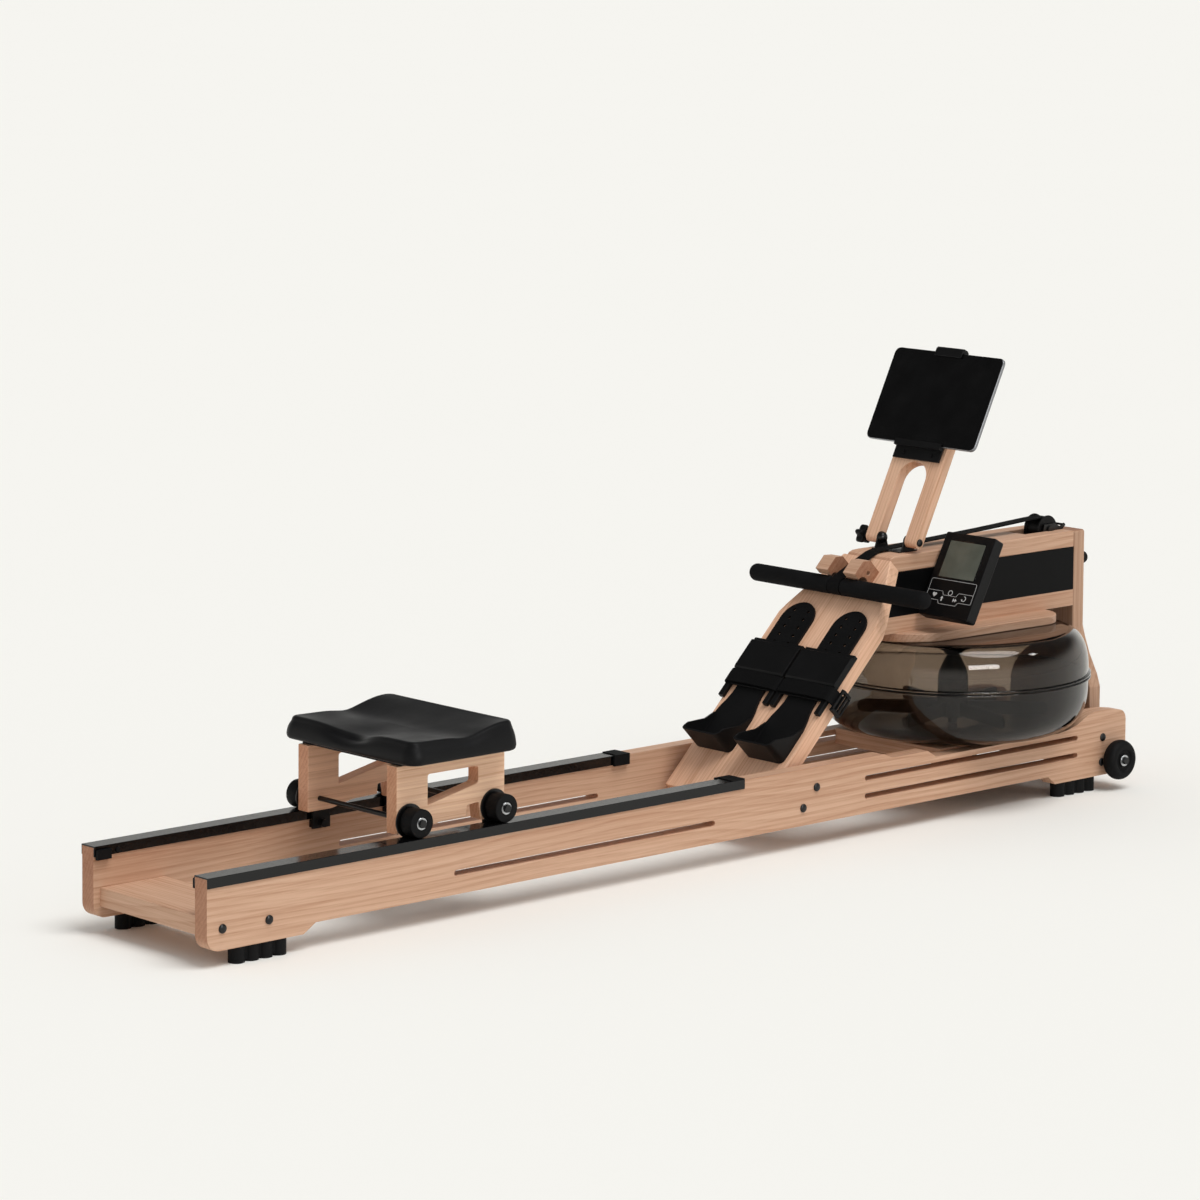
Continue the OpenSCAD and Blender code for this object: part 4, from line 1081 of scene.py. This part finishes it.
def pad_top(x, y, half_l, half_w, top):
    """Height of the pad: dished in the middle, lower along its sides and in the rear valley, and
    highest at the front, where the sides rise along s^2 (3 - 2 s)."""
    u, v = x / half_l, y / half_w
    s = np.clip((0.75 - u) / 0.65, 0, 1)
    side = 0.011 * s * s * (3 - 2 * s) + 0.004 * np.exp(-(((u - 0.05) / 0.22) ** 2))
    drop = side * (0.35 + 0.65 * v * v) + 0.014 * np.exp(-((v / 0.32) ** 2)) * np.maximum(0, -u)
    dish = np.maximum(0, 1 - np.abs(u + 0.1) ** 2.5) * np.maximum(0, 1 - np.abs(v) ** 2.5)
    return top - drop - 0.013 * dish


# Rows of the pad in millimetres: inset, dent, share of the way up to the top face, and height
PAD_ROWS = [
    (9, 0, 0, 0),
    (6, 0, 0, 0.35),
    (3, 0, 0, 1.5),
    (1.6, 0, 0, 2.9),
    (0.8, 0, 0, 4.5),
    (0.25, 0, 0, 6.3),
    (0, 0, 0, 8.5),
    (0.9, 1.4, 0.2, 7),
    (2.2, 3.5, 0.4, 4.4),
    (4, 6.2, 0.6, 1),
    (6, 9.2, 0.8, -3),
    (8, 12, 1, -7),
    (8.6, 13, 1, -4.7),
    (9.5, 14, 1, -3),
    (10.8, 15.2, 1, -1.6),
    (12.4, 16.2, 1, -0.65),
    (14.3, 17, 1, -0.12),
    (16.5, 17.6, 1, 0),
]


class ROWER_OT_seat(RowerOperator):
    """Moulded foam seat pad, its plate, axles and guides"""

    bl_idname = "rower.seat"
    bl_label = "Seat"

    def execute(self, context):
        sizes, finish = settings(context)
        low, high, middle = span("seat_cushion")
        half_l, half_w = (high[0] - low[0]) / 2, (high[1] - low[1]) / 2
        rings = []
        for inset, notch, share, height in PAD_ROWS:
            x, y = pad_outline(half_l, half_w, inset / 1000, notch / 1000).T
            z = low[2] + share * (pad_top(x, y, half_l, half_w, high[2]) - low[2]) + height / 1000
            rings.append(np.stack([x, y, z], -1))
        x, y = rings[-1][:, 0], rings[-1][:, 1]
        for k in np.linspace(0.97, 0, 28):
            rings.append(np.stack([x * k, y * k, pad_top(x * k, y * k, half_l, half_w, high[2])], -1))
        grid = np.array(rings)
        grid[..., 0] += middle[0]
        cushion = surface("seat_pad", grid, wrap_cols=True, caps=(True, False), smooth=60)
        skin = foam("seat foam skin", finish.pad, 0.45, 0.12, 1.25, 0.12)
        fit(cushion, "seat", skin, "grip_foam", "seat_cushion")
        dressed("seat_base", satin(finish), sizes.plastic_edge, slot="black_plastic")
        dressed("seat_axles", black_steel(finish), sizes.steel_edge, slot="black_steel")
        dressed("seat_guides", satin(finish), sizes.plastic_edge, slot="black_plastic")
        return {"FINISHED"}


class ROWER_OT_wheels(RowerOperator):
    """Seat rollers and transport wheels with their bright bearing rings"""

    bl_idname = "rower.wheels"
    bl_label = "Rollers and wheels"

    def execute(self, context):
        _, finish = settings(context)
        for name, side in SIDES.items():
            for end in ("rear", "front"):
                node = f"roller_{end}_{name}"
                low, high, _ = span(node)
                r, w = (high[2] - low[2]) / 2, high[1] - low[1]
                tread = [
                    (0.0041, w - 0.001),
                    (0.0098, w - 0.001),
                    (0.0103, w - 0.0006),
                    (0.0106, w),
                    (r - 0.0015, w),
                    (r - 0.0004, w - 0.0005),
                    (r, w - 0.0016),
                    (r, 0.0016),
                    (r - 0.0004, 0.0005),
                    (r - 0.0015, 0),
                    (0.0041, 0),
                ]
                self.wheel(node, side, finish, tread, 0.0095, w - 0.0011)
            node = "transport_wheel_" + name
            low, high, _ = span(node)
            r, w = (high[2] - low[2]) / 2, high[1] - low[1]
            a = np.radians(np.linspace(-90, 90, 25))
            round_tyre = np.stack([r - 0.009 + 0.009 * np.cos(a), w / 2 * (1 + np.sin(a))], -1)
            dish = [
                (0.0206, w),
                (0.0196, w - 0.0006),
                (0.018, w - 0.003),
                (0.0125, w - 0.003),
                (0.012, w - 0.0012),
                (0.0116, w - 0.001),
                (0.0051, w - 0.001),
                (0.0051, 0),
            ]
            self.wheel(node, side, finish, np.concatenate([round_tyre, dish]), 0.0098, w - 0.0011)
        return {"FINISHED"}

    def wheel(self, node, side, finish, profile, ring, face):
        """Tyre turned from its profile, with a bright ring on its hub. Heights are counted from the
        tyre's inner face."""
        low, high, middle = span(node)
        inner = low[1] if side == FAR else high[1]
        centre = (middle[0], 0, middle[2])
        profile = np.array(profile, float)
        profile[:, 1] = inner + side * profile[:, 1]
        tyre = lathe(node + "_tyre", profile, centre=centre, along="y", steps=96)
        fit(tyre, body_of(node), rubber(finish), "black_rubber", node)
        band = np.array(
            [
                (0.0062, face),
                (0.0062, face + 0.0005),
                (0.0066, face + 0.0009),
                (ring - 0.0004, face + 0.0009),
                (ring, face + 0.0005),
                (ring, face),
            ]
        )
        band[:, 1] = inner + side * band[:, 1]
        piece = lathe(node + "_bearing", band, centre=centre, along="y", steps=64)
        fit(piece, body_of(node), bright_steel(finish), "bright_steel")


# ---------- foot rests ----------


class ROWER_OT_foot_rests(RowerOperator):
    """Foot rests: base plates, sliding heel cups and webbing straps with their ladder buckles"""

    bl_idname = "rower.foot_rests"
    bl_label = "Foot rests"

    def execute(self, context):
        sizes, finish = settings(context)
        dressed("footplates", satin(finish), sizes.plastic_edge, slot="black_plastic")
        for name in SIDES:
            dressed("heel_slider_" + name, satin(finish), 0.0013, slot="black_plastic")
        axes = board_axes(sizes)
        reach = (span("foot_straps")[1][1] - 0.0065) - sizes.foot_spacing
        # Across the board and out of it, from the strap's inner end to the buckle's foot
        route = [
            (-0.0583, 0.001),
            (-0.0583, 0.0084),
            (-0.052, 0.0115),
            (-0.026, 0.0128),
            (0.0, 0.0132),
            (0.026, 0.0129),
            (reach - 0.008, 0.012),
            (reach - 0.0015, 0.0085),
            (reach, 0.001),
            (reach + 0.001, -0.016),
        ]
        bend = even_path(route, 0.0015, 3)
        up_the_board, width = 0.223, 0.026
        for name, side in SIDES.items():
            across = side * (sizes.foot_spacing + bend[:, 0])
            path = np.stack([0 * across + up_the_board, across, bend[:, 1]], -1)
            strap = ribbon("foot_strap_" + name, path, (1, 0, 0), width, sizes.strap_thickness, axes)
            stands = ("foot_straps",) if side == NEAR else ()
            fit(strap, "frame", strap_cloth(finish), "webbing", *stands)
            self.buckle(name, side, axes, sizes.foot_spacing + reach, finish)
        return {"FINISHED"}

    def buckle(self, name, side, axes, edge, finish):
        """Ladder buckle: two side rails joined by four rungs, the lowest one broad."""
        pieces = []
        for low, high in ((0.202, 0.207), (0.239, 0.244)):
            outline = rounded(
                [
                    (edge - 0.0005, -0.028),
                    (edge + 0.0062, -0.025),
                    (edge + 0.0062, -0.005),
                    (edge - 0.0005, -0.002),
                ],
                0.0025,
            )
            pieces.append(self.bar(outline, side, low, high, axes))
        for middle, half in ((-0.0265, 0.0015), (-0.019, 0.0017), (-0.0125, 0.0012), (-0.0042, 0.0022)):
            outline = rounded(
                [
                    (edge + 0.0008, middle - half),
                    (edge + 0.0055, middle - half),
                    (edge + 0.0055, middle + half),
                    (edge + 0.0008, middle + half),
                ],
                0.001,
            )
            pieces.append(self.bar(outline, side, 0.2065, 0.2395, axes))
        fit(joined("buckle_" + name, pieces), "frame", satin(finish), "black_plastic")

    def bar(self, outline, side, low, high, axes):
        """A bar along the board's slope: its outline is (across, out of the face)."""
        outline = outline * [side, 1]
        return plate("bar", outline, low, high, axes, bevel=0)


# ---------- console ----------


class ROWER_OT_console(RowerOperator):
    """Console with its screen, printed outline and five keys with plain icons"""

    bl_idname = "rower.console"
    bl_label = "Console"

    def execute(self, context):
        sizes, finish = settings(context)
        axes = console_axes(sizes)
        half, tall, deep = sizes.console_width / 2, sizes.console_length, sizes.console_depth
        outline = rounded([(-half, 0), (half, 0), (half, tall), (-half, tall)], 0.005, 6)
        body = plate("console_body", outline, 0, deep, axes, bevel=0)
        round_edges(body, 0.0022, 4)
        fit(body, "monitor", satin(finish), "gloss_black", "console")
        lug = lathe(
            "console_lug",
            [
                (0.0051, -0.014),
                (0.0092, -0.014),
                (0.01, -0.0132),
                (0.01, 0.0132),
                (0.0092, 0.014),
                (0.0051, 0.014),
            ],
            axes,
            (sizes.console_pivot_depth, 0, tall / 2),
            "y",
            48,
        )
        fit(lug, "monitor", satin(finish), "black_plastic")
        across, foot, head = 0.0135, tall / 2 - 0.0098, tall / 2 + 0.0098
        web = rounded([(-across, foot), (across, foot), (across, head), (-across, head)], 0.003)
        behind = sizes.console_pivot_depth - 0.0055
        web = plate("console_lug_web", web, deep - 0.001, behind, axes, 0.0006)
        fit(web, "monitor", satin(finish), "black_plastic")
        self.screen(axes, half, tall, finish)
        self.print(axes, 2 * half, tall, finish)
        self.keys(axes, finish)
        dressed("console_mount", black_steel(finish), sizes.steel_edge, slot="black_steel")
        return {"FINISHED"}

    def screen(self, axes, half, tall, finish):
        """Bezel and glass: two rounded plates that stand a hair's breadth out of the face."""
        for name, grow, proud, material in (
            ("console_bezel", 0.0022, 0.00015, gloss(finish)),
            ("console_glass", 0.0, 0.0003, self.glass(finish)),
        ):
            y, low, high = 0.7 * half + grow, 0.467 * tall - grow, 0.9 * tall + grow
            outline = rounded([(-y, low), (y, low), (y, high), (-y, high)], 0.002 + grow, 5)
            piece = plate(name, outline, -proud, 0.0008, axes, 0.0001)
            fit(piece, "monitor", material, "gloss_black")

    def glass(self, finish):
        """Display glass: grey-green with a soft cloud, as an unlit liquid crystal shows."""
        make = Finish("display glass", finish.screen, 0.25, Specular_IOR_Level=0.4)
        cloud = make.noise(make.coords(), 24.0, 2.0)
        deep = tuple(0.72 * c for c in finish.screen[:3]) + (1.0,)
        make.feed("Base Color", make.blend(make.spread(cloud, 0.3, 0.7), deep, finish.screen))
        return make.material

    def line(self, name, points, axes, body, finish, thick=0.0007, step=0.0006, soften=1):
        """Printed line: points are (from the viewer's left, up the face) in metres."""
        path = even_path(points, step, soften)
        path = np.stack([0 * path[:, 0] - 0.00002, -path[:, 0], path[:, 1]], -1)
        piece = ribbon(name, path, (1, 0, 0), 0.0004, thick, axes, steps=2)
        fit(piece, body, ink(finish), "gloss_black")

    def print(self, axes, wide, tall, finish):
        """Outline of the key field, and the stepped line that parts its upper field from the keys."""
        at = lambda a, b: ((a - 0.5) * wide, b * tall)
        low = [(0.95, 0.19), (0.70, 0.19), (0.67, 0.15), (0.33, 0.15), (0.30, 0.19), (0.05, 0.19)]
        corners = [at(a, b) for a, b in [(0.05, 0.436), (0.95, 0.436), *low]]
        box = rounded(corners, [0.004, 0.004, *[0.0012] * 6], 6)
        self.line("console_outline", np.concatenate([box, box[:1]]), axes, "monitor", finish, 0.0006)
        step = [(0.05, 0.30), (0.34, 0.30), (0.37, 0.257), (0.63, 0.257), (0.66, 0.30), (0.95, 0.30)]
        divider = even_path([at(a, b) for a, b in step], 0.0006, 3)
        self.line("console_divider", divider, axes, "monitor", finish, 0.0006)

    def keys(self, axes, finish):
        """Domed keys, and on each a plain icon: heart, arrow, ring, two wedges and open ring."""
        t = np.linspace(0, 2 * math.pi, 49)
        heart = np.stack(
            [
                16 * np.sin(t) ** 3,
                13 * np.cos(t) - 5 * np.cos(2 * t) - 2 * np.cos(3 * t) - np.cos(4 * t),
            ],
            -1,
        )
        ring = np.stack([np.sin(t), np.cos(t)], -1)
        arrow = [(0, 1), (-0.8, 0.1), (-0.32, 0.1), (-0.32, -1), (0.32, -1), (0.32, 0.1), (0.8, 0.1)]
        wedge = np.array([(-1.0, 0.8), (0.0, 0.0), (-1.0, -0.8)])
        barb = np.array([(-1.3, -0.45), (-0.5, -0.2), (-0.65, -1.1)])
        # Filled shapes, then lines, each in metres from the middle of its key
        icons = {
            "heart": ([heart * 0.00029], []),
            "up": ([np.array(arrow) * 0.0043], []),
            "mode": ([], [ring * 0.0043]),
            "fast": ([wedge * 0.0042, (wedge + [1.05, 0]) * 0.0042], []),
            "reset": ([barb * 0.0042], [ring[:32] * 0.0042]),
        }
        for name, (shapes, strokes) in icons.items():
            node = "key_" + name
            _, _, middle = span(node)
            spot = (middle - axes.origin) @ axes.rows.T
            profile = [
                (0.0, -0.0007),
                (0.003, -0.00062),
                (0.0052, -0.0003),
                (0.0058, 0.0001),
                (0.0059, 0.0012),
                (0.0059, 0.003),
                (0.0, 0.003),
            ]
            centre = (0, spot[1], spot[2])
            cap = lathe(node + "_cap", profile, axes, centre, "x", 48, loop=False)
            fit(cap, body_of(node), satin(finish), "black_plastic", node)
            shift = np.array([-spot[1], spot[2]])
            lifted = Axes(axes.place([-0.00058, 0, 0]), 0)
            lifted.rows = axes.rows
            for index, shape in enumerate(shapes):
                outline = (shape + shift) * [-1, 1]
                print_ = plate(f"{node}_shape_{index}", outline, -0.0002, 0.0003, lifted, bevel=0)
                fit(print_, body_of(node), ink(finish), "gloss_black")
            for index, stroke in enumerate(strokes):
                name_ = f"{node}_line_{index}"
                self.line(name_, stroke + shift, lifted, body_of(node), finish, 0.0011, 0.0003, 0)


class ROWER_OT_tablet(RowerOperator):
    """Tablet in its clamp on the leaning arm, with the arm's bracket and star knob"""

    bl_idname = "rower.tablet"
    bl_label = "Tablet and clamp"

    def execute(self, context):
        sizes, finish = settings(context)
        axes = arm_axes(sizes)
        for node in ("tablet_clamp", "tablet_clip"):
            dressed(node, satin(finish), sizes.plastic_edge, slot="black_plastic")
        dressed("arm_bracket", black_steel(finish), sizes.steel_edge, slot="black_steel", whole=False)
        self.tablet(axes, finish)
        self.knob(finish)
        return {"FINISHED"}

    def tablet(self, axes, finish):
        """Metal case with a rounded rim, and a black glass face laid into it."""
        mesh = frame["nodes"]["tablet"].data
        flat = np.empty(3 * len(mesh.vertices), np.float32)
        mesh.vertices.foreach_get("co", flat)
        local = (flat.reshape(-1, 3) - axes.origin) @ axes.rows.T
        low, high = local.min(0), local.max(0)
        silver = metal("silver case", finish.silver, 0.38)
        for name, inset, start, end, material, slot in (
            ("tablet_case", 0.0, low[0] + 0.0004, high[0], silver, "bright_steel"),
            ("tablet_glass", 0.0009, low[0], low[0] + 0.002, self.glass(), "gloss_black"),
        ):
            y, z0, z1 = high[1] - inset, low[2] + inset, high[2] - inset
            outline = rounded([(-y, z0), (y, z0), (y, z1), (-y, z1)], 0.0125, 10)
            piece = plate(name, outline, start, end, axes, bevel=0)
            round_edges(piece, 0.0018 if inset == 0 else 0.0003, 4)
            stands = ("tablet",) if inset == 0 else ()
            fit(piece, body_of("tablet"), material, slot, *stands)

    def glass(self):
        """Black display glass with a faint cloud of finger marks in its gloss."""
        make = Finish("tablet glass", tone(7, 7, 8), 0.1, Specular_IOR_Level=0.4)
        marks = make.noise(make.coords(), 30.0, 4.0)
        make.feed("Roughness", make.spread(marks, 0.4, 0.75, 0.08, 0.2))
        make.feed("Base Color", make.blend(make.spread(marks, 0.3, 0.7), tone(5, 5, 6), tone(12, 12, 13)))
        return make.material

    def knob(self, finish):
        """Five-lobed knob: every ring has the radius k (13.5 mm + 3 mm cos 5 a), over a round boss."""
        low, high, _ = span("star_knob")
        pivot = np.array(JOINTS["knob_turn"]["pos_m"], float)
        top = high[1]
        a = np.linspace(0, 2 * math.pi, 120, endpoint=False)
        lobed = 0.0135 + 0.003 * np.cos(5 * (a - math.radians(9)))
        round_ = np.full_like(a, 0.0078)
        rows = [
            (0, round_, 0.0220),
            (1, round_, 0.0220),
            (1, round_, 0.0148),
            (0.9, lobed, 0.0146),
            (0.96, lobed, 0.0141),
            (1, lobed, 0.0130),
            (1, lobed, 0.0036),
            (0.97, lobed, 0.0018),
            (0.9, lobed, 0.0006),
            (0.7, lobed, 0.0001),
            (0, lobed, 0.0),
        ]
        grid = np.stack(
            [np.stack([k * r * np.cos(a), 0 * a + top - h, k * r * np.sin(a)], -1) for k, r, h in rows]
        )
        grid = grid + np.array([pivot[0], 0, pivot[2]])
        head = surface("knob_head", grid, wrap_cols=True, smooth=50)
        fit(head, body_of("star_knob"), satin(finish), "black_plastic", "star_knob")
        end, head = low[1], top - 0.021
        bolt = [(0, end), (0.0036, end), (0.004, end + 0.0004), (0.004, head), (0, head)]
        piece = lathe("knob_bolt", bolt, centre=(pivot[0], 0, pivot[2]), along="y", steps=40, loop=False)
        fit(piece, body_of("star_knob"), black_steel(finish), "black_steel")


class ROWER_OT_feet(RowerOperator):
    """Rubber feet, bumpers and the bolts through the rails"""

    bl_idname = "rower.feet"
    bl_label = "Feet and bolts"

    def execute(self, context):
        sizes, finish = settings(context)
        dressed("feet", rubber(finish), sizes.plastic_edge, slot="black_rubber")
        dressed("bumpers", rubber(finish), sizes.plastic_edge, slot="black_rubber")
        dressed("rail_bolts", black_steel(finish), sizes.steel_edge, slot="black_steel")
        return {"FINISHED"}


# ---------- stage ----------


def sun(name, direction, strength, angle):
    """Sun lamp shining along direction, soft by its angle."""
    data = bpy.data.lights.new(name, "SUN")
    data.energy, data.angle = strength, math.radians(angle)
    lamp = bpy.data.objects.new(name, data)
    lamp.rotation_euler = Vector(direction).to_track_quat("-Z", "Y").to_euler()
    bpy.context.scene.collection.objects.link(lamp)


def soft_box(name, aim, toward, distance, size, glow):
    """Rectangular lamp that stands at a distance from aim along toward and shines back at it. Only
    glossy and clear surfaces show it. Its power is glow times pi times its area."""
    toward = np.array(toward, float) / np.linalg.norm(toward)
    data = bpy.data.lights.new(name, "AREA")
    data.shape, data.size, data.size_y = "RECTANGLE", size[0], size[1]
    data.energy = glow * math.pi * size[0] * size[1]
    lamp = bpy.data.objects.new(name, data)
    lamp.visible_diffuse = False
    lamp.location = Vector(np.array(aim, float) + toward * distance)
    lamp.rotation_euler = Vector(-toward).to_track_quat("-Z", "Y").to_euler()
    bpy.context.scene.collection.objects.link(lamp)


class ROWER_OT_stage(RowerOperator):
    """Plain pale floor, soft studio light and the camera"""

    bl_idname = "rower.stage"
    bl_label = "Stage"

    def execute(self, context):
        _, finish = settings(context)
        scene = context.scene
        scene.view_settings.view_transform = "Standard"
        make = Finish("studio floor", finish.floor, 0.9, Specular_IOR_Level=0.0)
        place = make.coords()
        cloud = make.noise(place, 0.7, 2.0)
        deep = tuple(0.995 * c for c in finish.floor[:3]) + (1.0,)
        make.feed("Base Color", make.blend(cloud, deep, finish.floor))
        t = np.linspace(0, 2 * math.pi, 128, endpoint=False)
        ring = np.stack([np.cos(t), np.sin(t), 0 * t], -1)
        reach = np.array([0.0, 1.5, 6.0, 25.0, 90.0])[:, None, None]
        floor = surface("floor", ring * reach, wrap_cols=True)
        floor.data.materials.append(make.material)
        if floor.data.polygons[0].normal.z < 0:
            floor.data.flip_normals()
        floor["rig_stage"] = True
        self.studio(scene, finish)
        sun("key sun", (-0.05, 0.2, -0.45), 1.68, 36)
        soft_box("near box", (0.582, -0.187, 0.259), (-0.313, -0.869, 0.382), 4.0, (1.9, 0.7), 15.0)
        soft_box("high box", (0.671, -0.216, 0.274), (0.522, -0.561, 0.643), 4.0, (0.4, 0.4), 14.0)
        self.camera(scene)
        return {"FINISHED"}

    def studio(self, scene, finish):
        """Even light on dull surfaces. Eyes, glass and metal see the pale backdrop, which ends in a
        dim ceiling from 6 to 25 degrees above the horizon."""
        world = bpy.data.worlds.new("studio")
        scene.world = world
        world.use_nodes = True
        nodes, links = world.node_tree.nodes, world.node_tree.links

        def put(kind, operation=None):
            node = nodes.new("ShaderNode" + kind)
            if operation:
                node.operation = operation
            return node

        even = nodes["Background"]
        even.inputs["Color"].default_value = (1.0, 1.0, 1.0, 1.0)
        even.inputs["Strength"].default_value = 0.515
        shown = put("Background")
        shown.inputs["Color"].default_value = finish.floor
        parts = put("SeparateXYZ")
        links.new(put("TexCoord").outputs["Generated"], parts.inputs[0])
        fade = put("MapRange")
        fade.interpolation_type = "SMOOTHSTEP"
        links.new(parts.outputs[2], fade.inputs["Value"])
        for socket, value in (("From Min", 0.1), ("From Max", 0.42), ("To Min", 1.0), ("To Max", 0.1)):
            fade.inputs[socket].default_value = value
        links.new(fade.outputs[0], shown.inputs["Strength"])
        paths = put("LightPath")
        seen = None
        for ray in ("Is Camera Ray", "Is Transmission Ray", "Is Glossy Ray"):
            if seen is None:
                seen = paths.outputs[ray]
                continue
            most = put("Math", "MAXIMUM")
            links.new(seen, most.inputs[0])
            links.new(paths.outputs[ray], most.inputs[1])
            seen = most.outputs[0]
        mix = put("MixShader")
        links.new(seen, mix.inputs[0])
        links.new(even.outputs[0], mix.inputs[1])
        links.new(shown.outputs[0], mix.inputs[2])
        links.new(mix.outputs[0], nodes["World Output"].inputs["Surface"])

    def camera(self, scene):
        """Camera placed by its yaw, pitch and roll, in metres and radians."""
        yaw, pitch, roll = -0.7430, 0.0880, 0.0075
        place = (-4.7931, -5.0865, 1.5653)
        back = Vector((math.sin(yaw) * math.cos(pitch), -math.cos(yaw) * math.cos(pitch), math.sin(pitch)))
        right0 = Vector((math.cos(yaw), math.sin(yaw), 0))
        up0 = back.cross(right0)
        right = math.cos(roll) * right0 + math.sin(roll) * up0
        up = -math.sin(roll) * right0 + math.cos(roll) * up0
        data = bpy.data.cameras.new("camera")
        data.lens, data.sensor_width, data.shift_y = 132.18, 36.0, -0.2795
        data.clip_end = 300.0
        camera = bpy.data.objects.new("camera", data)
        turn = Matrix((right, up, back)).transposed().to_4x4()
        camera.matrix_world = Matrix.Translation(place) @ turn
        scene.collection.objects.link(camera)
        scene.camera = camera


# ---------- panel and registration ----------

STEPS = (
    ROWER_OT_boards,
    ROWER_OT_tracks,
    ROWER_OT_tank,
    ROWER_OT_strap,
    ROWER_OT_handle,
    ROWER_OT_seat,
    ROWER_OT_wheels,
    ROWER_OT_foot_rests,
    ROWER_OT_console,
    ROWER_OT_tablet,
    ROWER_OT_feet,
    ROWER_OT_stage,
)


class ROWER_PT_panel(bpy.types.Panel):
    """Lists the machine's groups of pieces and its finishes"""

    bl_label = "Rowing Machine"
    bl_idname = "ROWER_PT_panel"
    bl_space_type = "VIEW_3D"
    bl_region_type = "UI"
    bl_category = "Rower"

    def draw(self, context):
        layout = self.layout
        for step in STEPS:
            layout.operator(step.bl_idname, text=step.bl_label)
        for group in settings(context):
            box = layout.box()
            for key in group.bl_rna.properties.keys():
                if key not in {"rna_type", "name"}:
                    box.prop(group, key)


CLASSES = (RowerSizes, RowerFinish, *STEPS, ROWER_PT_panel)


def register():
    for cls in CLASSES:
        bpy.utils.register_class(cls)
    bpy.types.Scene.rower_sizes = bpy.props.PointerProperty(type=RowerSizes)
    bpy.types.Scene.rower_finish = bpy.props.PointerProperty(type=RowerFinish)


def unregister():
    del bpy.types.Scene.rower_finish
    del bpy.types.Scene.rower_sizes
    for cls in reversed(CLASSES):
        bpy.utils.unregister_class(cls)


def main():
    """Registers the add-on, builds every piece in order and works out the sizes of both models."""
    register()
    for step in STEPS:
        area, name = step.bl_idname.split(".")
        if getattr(getattr(bpy.ops, area), name)() != {"FINISHED"}:
            raise RuntimeError(step.bl_label + " did not finish")
    boxes = {"cad": CAD_BOX, "visual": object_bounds()}
    {key: [list(map(float, corner)) for corner in box] for key, box in boxes.items()}


if __name__ == "__main__":
    main()
